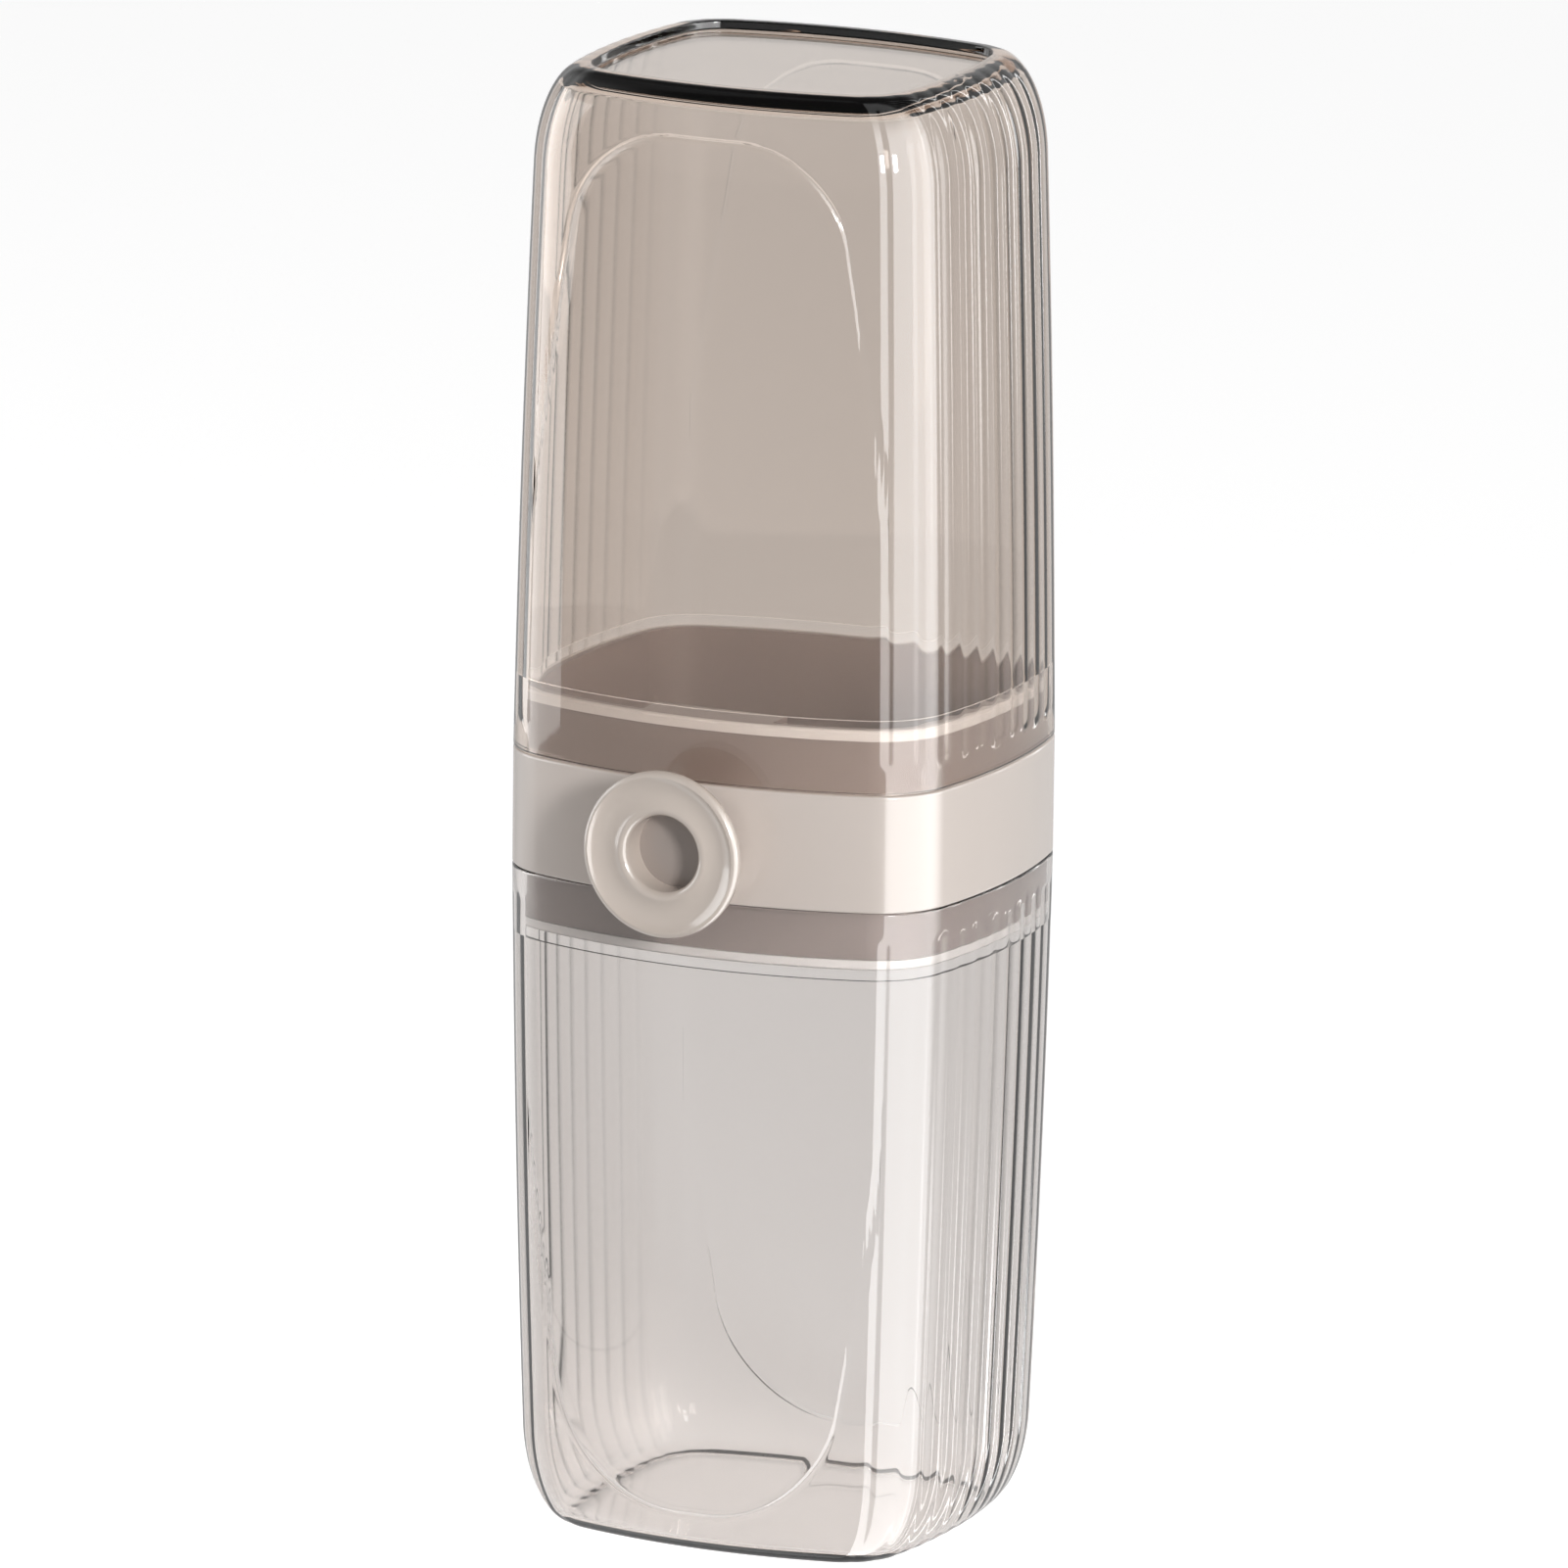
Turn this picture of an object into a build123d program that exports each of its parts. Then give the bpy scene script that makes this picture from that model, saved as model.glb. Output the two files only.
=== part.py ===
from build123d import *
import math
import os

os.makedirs("parts", exist_ok=True)

# Two clear cups meet at an opaque band. Z runs up from the flat underside, the button looks along -Y.
base_height = 96.5
band_height = 17.0
cover_height = 98.5

# Plan of both cups at the mouth, a rounded rectangle with bowed sides
mouth_half_width = 35.3
mouth_half_depth = 31.5
mouth_corner_radius = 12.0
front_radius = 80.0
side_radius = 95.0

# Plan at the closed end, measured in from the mouth's
end_width_inset = 9.0
end_depth_inset = 7.4
end_corner_radius = 8.0

# Side profile of a cup: a slightly barrelled wall, then a rounded shoulder
shoulder_height = 14.0
shoulder_inset = 6.2
wall_bow = 0.35

# Cup walls
cup_wall = 2.3
mouth_wall = 1.9
floor_thickness = 1.4
floor_blend = 1.2
rim_width = 1.3
rim_recess = 1.2

# Reeds on the sides and corners, and the arched line on the smooth front and back
reed_count = 12
reed_depth = 0.2
reed_crest_inset = 0.03
smooth_corner_share = 0.24
lip_height = 4.0
arch_length = 50.0
arch_side_gap = 15.8
arch_leg_side_gap = 7.3
cover_arch_end_gap = 7.0
cover_arch_radius = 14.0
base_arch_end_gap = 6.0
base_arch_radius = 17.0
arch_line_width = 0.6
arch_line_depth = 0.2

# Sleeve inside the band and both mouths, with a soft ring in a rebate at each edge
sleeve_reach_up = 9.0
sleeve_reach_down = 8.5
sleeve_clearance = 0.25
sleeve_wall = 1.8
ledge_gap = 1.5
seal_height = 1.5
seal_rebate_depth = 0.8
seal_chamfer = 0.3
seal_clearance = 0.05
band_fit = 0.05
band_chamfer = 0.35

# Push button: a dished ring, thin at its edge, on a stem that slides in a guide
button_radius = 12.0
button_hole_radius = 5.5
button_neck_radius = 8.4
button_thickness = 6.4
button_edge_thickness = 2.0
button_stop_gap = 0.3
button_edge_round = 0.8
button_lip_round = 1.04
button_lip_drop = 0.5
button_dish = 1.0
stem_radius = 3.0
stem_head_radius = 6.6
stem_head_thickness = 1.2
stem_running_clearance = 0.06
press_travel = 1.6
guide_radius = 5.6
guide_reach = 1.2
guide_flange_radius = 7.0
guide_flange_thickness = 1.0
guide_floor = 1.8
fit_clearance = 0.05
clip_thickness = 0.7
clip_radius = 4.5
clip_seat_depth = 0.5
clip_opening_angle = 70.0
clip_gap = 0.1
stem_tail = 1.0

# Return spring round the stem
spring_wire = 0.7
spring_mean_radius = 3.9
spring_turns = 3
spring_seat_gap = 0.1
spring_pocket_clearance = 0.25

# Latch: a leaf screwed to the sleeve above the button, with a nose that reaches into the base's wall
tongue_gap = 0.3
tongue_thickness = 0.8
tongue_half_width = 5.0
tongue_end_gap = 2.4
foot_end_gap = 2.2
foot_height = 5.0
foot_half_width = 6.0
nose_half_width = 2.0
nose_height = 1.8
nose_edge_gap = 1.1
nose_bite = 0.7
nose_clearance = 0.3
tongue_back_clearance = 0.2

# Guard over the latch, inside the sleeve
guard_half_width = 10.0
guard_wall = 1.2
guard_edge_gap = 0.5
pillar_radius = 1.5
pillar_half_spacing = 7.2
pillar_below_button = 9.0
screw_radius = 0.8
screw_head_radius = 1.5
screw_head_height = 0.9
screw_slot_length = 1.8
screw_slot_width = 0.3
screw_slot_depth = 0.45
screw_depth = 3.0
screw_end_gap = 0.3
foot_screw_half_spacing = 3.5

# Overshoot of cuts that pass right through
cut_margin = 1.0

# Places worked out from the sizes above
band_top = base_height + band_height
total_height = band_top + cover_height
button_height = base_height + band_height / 2
sleeve_top = band_top + sleeve_reach_up
sleeve_bottom = base_height - sleeve_reach_down
sleeve_inset = mouth_wall + sleeve_clearance
sleeve_inner_inset = sleeve_inset + sleeve_wall
mouth_plan = (mouth_half_width, mouth_half_depth, mouth_corner_radius)
end_half_width = mouth_half_width - end_width_inset
end_half_depth = mouth_half_depth - end_depth_inset
arch_half_width = mouth_half_width - arch_side_gap
arch_leg_half_width = mouth_half_width - arch_leg_side_gap
foot_high = sleeve_top - foot_end_gap
foot_low = foot_high - foot_height
foot_screw_height = (foot_low + foot_high) / 2
tongue_low = sleeve_bottom + tongue_end_gap
nose_high = base_height - nose_edge_gap
nose_low = nose_high - nose_height
pillar_height = button_height - pillar_below_button

# Distances in front of the centre plane, on the button's axis
band_face = mouth_half_depth
mouth_wall_face = mouth_half_depth - mouth_wall
sleeve_inner_face = mouth_half_depth - sleeve_inner_inset
guide_front = band_face + guide_reach
button_back = guide_front + press_travel + button_stop_gap
button_front = button_back + button_thickness
clip_front = sleeve_inner_face - clip_gap
clip_back = clip_front - clip_thickness
stem_end = clip_back - stem_tail
tongue_face = stem_end - tongue_gap
tongue_back = tongue_face - tongue_thickness
nose_tip = mouth_wall_face + nose_bite

# The leaf bends about its foot, so its free end moves further back than the button's stem pushes it
tongue_swing = (press_travel - tongue_gap) * (foot_low - tongue_low) / (foot_low - button_height)
guard_inside = tongue_back - tongue_swing - tongue_back_clearance
guard_face = guard_inside - guard_wall


def quarter_plan(half_width, half_depth, corner_radius, inset):
    """Centre and tangent points of one corner of the bowed rounded rectangle, in the +X +Y quarter."""
    bow_front = front_radius - inset
    bow_side = side_radius - inset
    radius = corner_radius - inset
    front_drop = bow_front - (half_depth - inset)
    side_drop = bow_side - (half_width - inset)
    to_front = bow_front - radius
    to_side = bow_side - radius
    slope = front_drop / side_drop
    start = (to_side**2 - to_front**2 - side_drop**2 + front_drop**2) / (2 * side_drop)
    half_b = start * slope + front_drop
    square = 1 + slope**2
    centre_y = (math.sqrt(half_b**2 - square * (start**2 + front_drop**2 - to_front**2)) - half_b) / square
    centre_x = start + slope * centre_y
    long_tangent = Vector(centre_x, centre_y + front_drop) * (bow_front / to_front) - Vector(0, front_drop)
    short_tangent = Vector(centre_x + side_drop, centre_y) * (bow_side / to_side) - Vector(side_drop, 0)
    return Vector(centre_x, centre_y), long_tangent, short_tangent, radius


def corner_point(centre, long_tangent, short_tangent, radius, share):
    """Point on the corner arc, a share of its turn away from the long side."""
    start = math.atan2(long_tangent.Y - centre.Y, long_tangent.X - centre.X)
    stop = math.atan2(short_tangent.Y - centre.Y, short_tangent.X - centre.X)
    angle = start + share * (stop - start)
    return centre + Vector(math.cos(angle), math.sin(angle)) * radius


def front_mirror(point):
    """The same point in the +X -Y quarter."""
    return Vector(point.X, -point.Y)


def closed_plan(plane, right_side, half_depth):
    """Face bounded by the front bow, a chain of arcs up the right side, the back bow and the chain mirrored."""
    left_side = [Vector(-point.X, point.Y) for point in reversed(right_side)]
    chain = right_side + [Vector(0, half_depth)] + left_side + [Vector(0, -half_depth), right_side[0]]
    with BuildSketch(plane) as plan:
        with BuildLine():
            for start in range(0, len(chain) - 1, 2):
                ThreePointArc(*chain[start : start + 3])
        make_face()
    return plan.sketch


def smooth_plan(plane, half_width, half_depth, corner_radius, inset=0.0):
    """Bowed rounded rectangle, drawn a parallel distance inside its sizes."""
    corner = quarter_plan(half_width, half_depth, corner_radius, inset)
    long_tangent = corner[1]
    short_tangent = corner[2]
    middle = corner_point(*corner, 0.5)
    front_half = [front_mirror(long_tangent), front_mirror(middle), front_mirror(short_tangent)]
    side_middle = Vector(half_width - inset, 0)
    right_side = front_half + [side_middle, short_tangent, middle, long_tangent]
    return closed_plan(plane, right_side, half_depth - inset)


def reeded_plan(plane, half_width, half_depth, corner_radius):
    """Bowed rounded rectangle whose sides are rows of small outward arcs with sharp grooves between.

    The reeds' crests lie just inside the outline, so that the plain lip stands clear of them.
    """
    corner = quarter_plan(half_width, half_depth, corner_radius, 0.0)
    long_tangent = corner[1]
    short_tangent = corner[2]
    first = corner_point(*corner, smooth_corner_share)
    between = corner_point(*corner, (1 + smooth_corner_share) / 2)
    blend = corner_point(*corner, smooth_corner_share / 2)
    front_arc = Edge.make_three_point_arc(*[front_mirror(point) for point in (first, between, short_tangent)])
    side_arc = Edge.make_three_point_arc(front_mirror(short_tangent), Vector(half_width, 0), short_tangent)
    back_arc = Edge.make_three_point_arc(short_tangent, between, first)
    flank = Wire([front_arc, side_arc, back_arc])
    right_side = [front_mirror(long_tangent), front_mirror(blend)]
    for half_reed in range(2 * reed_count + 1):
        share = half_reed / (2 * reed_count)
        travel = flank.tangent_at(share)
        inwards = Vector(-travel.Y, travel.X)
        depth = reed_depth if half_reed % 2 == 0 else reed_crest_inset
        right_side.append(flank.position_at(share) + inwards * depth)
    right_side += [blend, long_tangent]
    return closed_plan(plane, right_side, half_depth)


def cup_progress(from_mouth, height):
    """Share of the way from the mouth's plan to the closed end's plan, at a distance from the mouth."""
    total_inset = mouth_half_width - end_half_width
    along = from_mouth / height
    inset = (total_inset - shoulder_inset) * along - 4 * wall_bow * along * (1 - along)
    into_shoulder = max(from_mouth - (height - shoulder_height), 0) / shoulder_height
    inset += shoulder_inset * (1 - math.sqrt(max(1 - into_shoulder**2, 0)))
    return inset / total_inset


def cup_sizes(from_mouth, height):
    """Half width, half depth and corner radius of the cup's outside at a distance from the mouth."""
    share = cup_progress(from_mouth, height)
    half_width = mouth_half_width + (end_half_width - mouth_half_width) * share
    half_depth = mouth_half_depth + (end_half_depth - mouth_half_depth) * share
    corner_radius = mouth_corner_radius + (end_corner_radius - mouth_corner_radius) * share
    return half_width, half_depth, corner_radius


def cup_plane(from_mouth, mouth_z, closes_towards):
    """Level plane at a distance from the mouth, on the side where the cup closes."""
    return Plane.XY.offset(mouth_z + closes_towards * from_mouth)


def skin_stations(first, height):
    """Distances from the mouth at which the outside is drawn, closer together round the shoulder."""
    wall_end = height - shoulder_height
    wall = [first + (wall_end - first) * step / 3 for step in range(4)]
    shoulder = [wall_end + shoulder_height * math.sin(math.radians(angle)) for angle in range(18, 91, 12)]
    return wall + shoulder


def floor_inside(height, recess):
    """Distance from the mouth to the inside of the closed end."""
    return height - recess - floor_thickness


def hollow_sections(mouth_z, closes_towards, height, recess, ledge):
    """Plans of the cup's inside, from the ledge to the floor, with a rounded edge at the floor."""
    floor = floor_inside(height, recess)
    blend_start = floor - floor_blend
    stations = [(ledge + (blend_start - ledge) * step / 4, 0.0) for step in range(5)]
    for angle in (30, 55, 75, 90):
        rise = floor_blend * math.sin(math.radians(angle))
        stations.append((blend_start + rise, floor_blend * (1 - math.cos(math.radians(angle)))))
    sections = []
    for from_mouth, extra in stations:
        half_width, half_depth, radius = cup_sizes(min(from_mouth, blend_start), height)
        plane = cup_plane(from_mouth, mouth_z, closes_towards)
        inset = cup_wall + extra * (radius - cup_wall) / (2 * floor_blend)
        sections.append(smooth_plan(plane, half_width - extra, half_depth - extra, radius, inset))
    return sections


def arch_line_cut(mouth_z, closes_towards, height, end_gap, radius):
    """Thin cut along an arch on the front and back of the cup, as deep as the line."""
    stations = [lip_height] + skin_stations(lip_height, height)[1:]
    core = []
    for from_mouth in stations:
        plane = cup_plane(from_mouth, mouth_z, closes_towards)
        core.append(smooth_plan(plane, *cup_sizes(from_mouth, height), arch_line_depth))
    crown_z = mouth_z + closes_towards * (height - end_gap)
    leg_z = crown_z - closes_towards * arch_length
    corners = [
        (-arch_leg_half_width, leg_z),
        (-arch_half_width, crown_z),
        (arch_half_width, crown_z),
        (arch_leg_half_width, leg_z),
    ]
    with BuildPart() as cut:
        with BuildSketch(Plane.XZ):
            with BuildLine() as arch:
                FilletPolyline(*corners, radius=radius)
            trace(line_width=arch_line_width)
        extrude(amount=mouth_half_depth + cut_margin, both=True)
        loft(core, ruled=True, mode=Mode.SUBTRACT)
    return cut.part


def front_plane(distance):
    """Plane across the button's axis, a distance in front of the centre plane, looking forwards."""
    return Plane(origin=(0, -distance, button_height), x_dir=(1, 0, 0), z_dir=(0, -1, 0))


def front_block(half_width, low, high, back, front):
    """Upright block between two heights and two distances in front of the centre plane."""
    with BuildPart() as block:
        with Locations((0, -(front + back) / 2, (low + high) / 2)):
            Box(2 * half_width, front - back, high - low)
    return block.part


def nose_room(back, front):
    """Block round the latch's nose with its clearance, between two distances in front of the centre plane."""
    low = nose_low - nose_clearance
    high = nose_high + nose_clearance
    return front_block(nose_half_width + nose_clearance, low, high, back, front)


def pair_places(half_spacing, height):
    """Places of a pair of screws on a plane across the button's axis."""
    return (-half_spacing, height - button_height), (half_spacing, height - button_height)


def cup_outside(mouth_z, closes_towards, height):
    """Solid outer shape: a plain lip at the mouth, then the reeded wall and shoulder."""
    sections = []
    for from_mouth in skin_stations(lip_height, height):
        plane = cup_plane(from_mouth, mouth_z, closes_towards)
        sections.append(reeded_plan(plane, *cup_sizes(from_mouth, height)))
    lip_plane = cup_plane(lip_height, mouth_z, closes_towards)
    lip = [
        smooth_plan(cup_plane(0, mouth_z, closes_towards), *mouth_plan),
        smooth_plan(lip_plane, *cup_sizes(lip_height, height)),
    ]
    with BuildPart() as outside:
        loft(sections, ruled=True)
        loft(lip, ruled=True)
    return outside.part


def cup_inside(mouth_z, closes_towards, height, recess, sleeve_reach):
    """Solid that fills the cup: a straight seat for the sleeve, then the tapering hollow past a ledge."""
    ledge = sleeve_reach + ledge_gap
    seat = smooth_plan(cup_plane(0, mouth_z, closes_towards), *mouth_plan, mouth_wall)
    with BuildPart() as inside:
        extrude(seat, amount=ledge, dir=(0, 0, closes_towards))
        loft(hollow_sections(mouth_z, closes_towards, height, recess, ledge), ruled=True)
    return inside.part


# Cups
with BuildPart() as base_cup:
    add(cup_outside(base_height, -1, base_height))
    add(cup_inside(base_height, -1, base_height, 0, sleeve_reach_down), mode=Mode.SUBTRACT)
    base_arch = (base_arch_end_gap, base_arch_radius)
    add(arch_line_cut(base_height, -1, base_height, *base_arch), mode=Mode.SUBTRACT)
    # Pocket that the latch's nose holds
    add(nose_room(mouth_wall_face - cut_margin, nose_tip + fit_clearance), mode=Mode.SUBTRACT)

with BuildPart() as cover_cup:
    add(cup_outside(band_top, 1, cover_height))
    add(cup_inside(band_top, 1, cover_height, rim_recess, sleeve_reach_up), mode=Mode.SUBTRACT)
    cover_arch = (cover_arch_end_gap, cover_arch_radius)
    add(arch_line_cut(band_top, 1, cover_height, *cover_arch), mode=Mode.SUBTRACT)
    # Recess in the closed end, inside a narrow rim
    end_plan = (end_half_width, end_half_depth, end_corner_radius, rim_width)
    extrude(smooth_plan(Plane.XY.offset(total_height), *end_plan), amount=-rim_recess, mode=Mode.SUBTRACT)

# Sleeve and band
with BuildPart() as inner_sleeve:
    extrude(
        smooth_plan(Plane.XY.offset(sleeve_bottom), *mouth_plan, sleeve_inset),
        amount=sleeve_top - sleeve_bottom,
    )
    # Rebates for the soft rings
    rebate_floor = sleeve_inset + seal_rebate_depth
    for rebate_low in (sleeve_top - seal_height, sleeve_bottom):
        rebate = Plane.XY.offset(rebate_low)
        extrude(smooth_plan(rebate, *mouth_plan), amount=seal_height, mode=Mode.SUBTRACT)
        extrude(smooth_plan(rebate, *mouth_plan, rebate_floor), amount=seal_height)
    extrude(
        smooth_plan(Plane.XY.offset(sleeve_bottom), *mouth_plan, sleeve_inner_inset),
        amount=sleeve_top - sleeve_bottom,
        mode=Mode.SUBTRACT,
    )
    # Seat for the leaf's foot and two pillars for the guard's screws
    add(front_block(foot_half_width, foot_low, foot_high, tongue_face, sleeve_inner_face + sleeve_wall / 2))
    with BuildSketch(front_plane(guard_inside)):
        with Locations(*pair_places(pillar_half_spacing, pillar_height)):
            Circle(pillar_radius)
    extrude(amount=sleeve_inner_face + sleeve_wall / 2 - guard_inside)
    # Hole for the guide and window for the nose
    with BuildSketch(front_plane(tongue_back)):
        Circle(guide_radius + fit_clearance)
    extrude(amount=band_face - tongue_back, mode=Mode.SUBTRACT)
    add(nose_room(sleeve_inner_face - cut_margin, band_face), mode=Mode.SUBTRACT)
    # Screw holes
    with BuildSketch(front_plane(tongue_face)):
        with Locations(*pair_places(foot_screw_half_spacing, foot_screw_height)):
            Circle(screw_radius)
    extrude(amount=screw_depth, mode=Mode.SUBTRACT)
    with BuildSketch(front_plane(guard_inside)):
        with Locations(*pair_places(pillar_half_spacing, pillar_height)):
            Circle(screw_radius)
    extrude(amount=screw_depth, mode=Mode.SUBTRACT)

with BuildPart() as outer_band:
    extrude(smooth_plan(Plane.XY.offset(base_height), *mouth_plan), amount=band_height)
    chamfer(outer_band.edges().group_by(Axis.Z)[-1], band_chamfer)
    chamfer(outer_band.edges().group_by(Axis.Z)[0], band_chamfer)
    extrude(
        smooth_plan(Plane.XY.offset(base_height), *mouth_plan, sleeve_inset - band_fit),
        amount=band_height,
        mode=Mode.SUBTRACT,
    )
    with BuildSketch(front_plane(0)):
        Circle(guide_radius + fit_clearance)
    extrude(amount=band_face + cut_margin, mode=Mode.SUBTRACT)

seal_outer = mouth_wall + seal_clearance
seal_inner = sleeve_inset + seal_rebate_depth - fit_clearance
seal_body_height = seal_height - fit_clearance

with BuildPart() as upper_seal:
    upper_seal_plane = Plane.XY.offset(sleeve_top - seal_body_height)
    extrude(smooth_plan(upper_seal_plane, *mouth_plan, seal_outer), amount=seal_body_height)
    chamfer(upper_seal.edges().group_by(Axis.Z)[-1], seal_chamfer)
    extrude(
        smooth_plan(upper_seal_plane, *mouth_plan, seal_inner),
        amount=seal_body_height,
        mode=Mode.SUBTRACT,
    )

with BuildPart() as lower_seal:
    lower_seal_plane = Plane.XY.offset(sleeve_bottom)
    extrude(smooth_plan(lower_seal_plane, *mouth_plan, seal_outer), amount=seal_body_height)
    chamfer(lower_seal.edges().group_by(Axis.Z)[0], seal_chamfer)
    extrude(
        smooth_plan(lower_seal_plane, *mouth_plan, seal_inner),
        amount=seal_body_height,
        mode=Mode.SUBTRACT,
    )

# Button: profiles are drawn from its axis outwards and turned round it
button_axis = Axis((0, 0, button_height), (0, -1, 0))
profile_plane = Plane(origin=(0, 0, button_height), x_dir=(1, 0, 0), z_dir=(0, 0, 1))


def profile_point(radius, distance):
    """Point of a turned profile, by its radius and its distance in front of the centre plane."""
    return (radius, -distance)


with BuildPart() as button_ring:
    rim_crest = button_radius - button_edge_round
    lip_crest = button_hole_radius + button_lip_round
    lip_front = button_front - button_lip_drop
    edge_back = button_front - button_edge_thickness
    bend = math.sqrt(0.5)
    with BuildSketch(profile_plane):
        with BuildLine():
            Polyline(
                profile_point(button_hole_radius, lip_front - button_lip_round),
                profile_point(button_hole_radius, button_back + stem_head_thickness),
                profile_point(stem_head_radius + fit_clearance, button_back + stem_head_thickness),
                profile_point(stem_head_radius + fit_clearance, button_back),
                profile_point(button_neck_radius, button_back),
                profile_point(rim_crest, edge_back),
            )
            ThreePointArc(
                profile_point(rim_crest, edge_back),
                profile_point(
                    rim_crest + button_edge_round * bend,
                    edge_back + button_edge_round * (1 - bend),
                ),
                profile_point(button_radius, edge_back + button_edge_round),
            )
            Line(
                profile_point(button_radius, edge_back + button_edge_round),
                profile_point(button_radius, button_front - button_edge_round),
            )
            ThreePointArc(
                profile_point(button_radius, button_front - button_edge_round),
                profile_point(
                    rim_crest + button_edge_round * bend,
                    button_front - button_edge_round * (1 - bend),
                ),
                profile_point(rim_crest, button_front),
            )
            ThreePointArc(
                profile_point(rim_crest, button_front),
                profile_point((rim_crest + lip_crest) / 2, button_front - button_dish),
                profile_point(lip_crest, lip_front),
            )
            ThreePointArc(
                profile_point(lip_crest, lip_front),
                profile_point(lip_crest - button_lip_round * bend, lip_front - button_lip_round * (1 - bend)),
                profile_point(button_hole_radius, lip_front - button_lip_round),
            )
        make_face()
    revolve(axis=button_axis)

with BuildPart() as button_stem:
    with BuildSketch(front_plane(stem_end)):
        Circle(stem_radius)
    extrude(amount=button_back - stem_end)
    with BuildSketch(front_plane(button_back)):
        Circle(stem_head_radius)
    extrude(amount=stem_head_thickness)
    # Groove for the clip
    with BuildSketch(front_plane(clip_back)):
        Circle(stem_radius + cut_margin)
        Circle(stem_radius - clip_seat_depth, mode=Mode.SUBTRACT)
    extrude(amount=clip_thickness, mode=Mode.SUBTRACT)

with BuildPart() as button_guide:
    with BuildSketch(front_plane(sleeve_inner_face)):
        Circle(guide_radius)
    extrude(amount=guide_front - sleeve_inner_face)
    with BuildSketch(front_plane(band_face + fit_clearance)):
        Circle(guide_flange_radius)
    extrude(amount=guide_flange_thickness)
    with BuildSketch(front_plane(sleeve_inner_face)):
        Circle(stem_radius + stem_running_clearance)
    extrude(amount=guide_front - sleeve_inner_face, mode=Mode.SUBTRACT)
    # Pocket for the spring
    with BuildSketch(front_plane(sleeve_inner_face + guide_floor)):
        Circle(spring_mean_radius + spring_wire / 2 + spring_pocket_clearance)
    extrude(amount=guide_front, mode=Mode.SUBTRACT)

with BuildPart() as button_clip:
    with BuildSketch(front_plane(clip_back)):
        Circle(clip_radius)
        Circle(stem_radius - clip_seat_depth + fit_clearance, mode=Mode.SUBTRACT)
        with BuildLine():
            opening_reach = 2 * clip_radius
            half_opening = math.radians(clip_opening_angle / 2)
            Polyline(
                (0, 0),
                (opening_reach * math.sin(half_opening), -opening_reach * math.cos(half_opening)),
                (-opening_reach * math.sin(half_opening), -opening_reach * math.cos(half_opening)),
                close=True,
            )
        make_face(mode=Mode.SUBTRACT)
    extrude(amount=clip_thickness)

# Spring: each quarter turn of the helix is two tangent arcs
spring_back = sleeve_inner_face + guide_floor + spring_seat_gap + spring_wire / 2
spring_length = button_back - spring_seat_gap - spring_wire / 2 - spring_back
spring_pitch = spring_length / spring_turns


def spring_point(turns):
    """Point on the spring's centre line after a number of turns from its inner end."""
    angle = 2 * math.pi * turns
    distance = spring_back + spring_pitch * turns
    across = Vector(math.cos(angle), 0, math.sin(angle)) * spring_mean_radius
    return across + Vector(0, -distance, button_height)


def spring_tangent(turns):
    """Unit direction of the spring's centre line."""
    angle = 2 * math.pi * turns
    around = Vector(-math.sin(angle), 0, math.cos(angle)) * (2 * math.pi * spring_mean_radius)
    return (around + Vector(0, -spring_pitch, 0)).normalized()


def quarter_turn_joint(start, stop, start_way, stop_way):
    """Point and direction where two tangent arcs meet between two points with given directions."""
    span = stop - start
    both = start_way + stop_way
    turn = 2 * (1 - start_way.dot(stop_way))
    reach = (math.sqrt(span.dot(both) ** 2 + turn * span.dot(span)) - span.dot(both)) / turn
    before = start + start_way * reach
    after = stop - stop_way * reach
    return (before + after) * 0.5, after - before


with BuildPart() as button_spring:
    with BuildLine() as coil:
        for quarter in range(4 * spring_turns):
            start = spring_point(quarter / 4)
            stop = spring_point((quarter + 1) / 4)
            start_way = spring_tangent(quarter / 4)
            stop_way = spring_tangent((quarter + 1) / 4)
            joint, joint_way = quarter_turn_joint(start, stop, start_way, stop_way)
            TangentArc(start, joint, tangent=start_way)
            TangentArc(joint, stop, tangent=joint_way)
    with BuildSketch(Plane(origin=spring_point(0), z_dir=spring_tangent(0))):
        Circle(spring_wire / 2)
    sweep()
print("spring: least gap between turns", round(spring_pitch - spring_wire, 3), "mm")

# Latch
with BuildPart() as latch_tongue:
    add(front_block(tongue_half_width, tongue_low, foot_high, tongue_back, tongue_face))
    add(front_block(foot_half_width, foot_low, foot_high, tongue_back, tongue_face))
    # Nose: level on top, where it holds, and sloping below, where the base pushes it in
    with BuildSketch(Plane.YZ):
        with BuildLine():
            Polyline(
                (-tongue_face, nose_high),
                (-nose_tip, nose_high),
                (-nose_tip, nose_low + nose_height / 2),
                (-(nose_tip - nose_height / 2), nose_low),
                (-tongue_face, nose_low),
                close=True,
            )
        make_face()
    extrude(amount=nose_half_width, both=True)
    with BuildSketch(front_plane(tongue_back)):
        with Locations(*pair_places(foot_screw_half_spacing, foot_screw_height)):
            Circle(screw_radius + fit_clearance)
    extrude(amount=tongue_thickness, mode=Mode.SUBTRACT)


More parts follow.
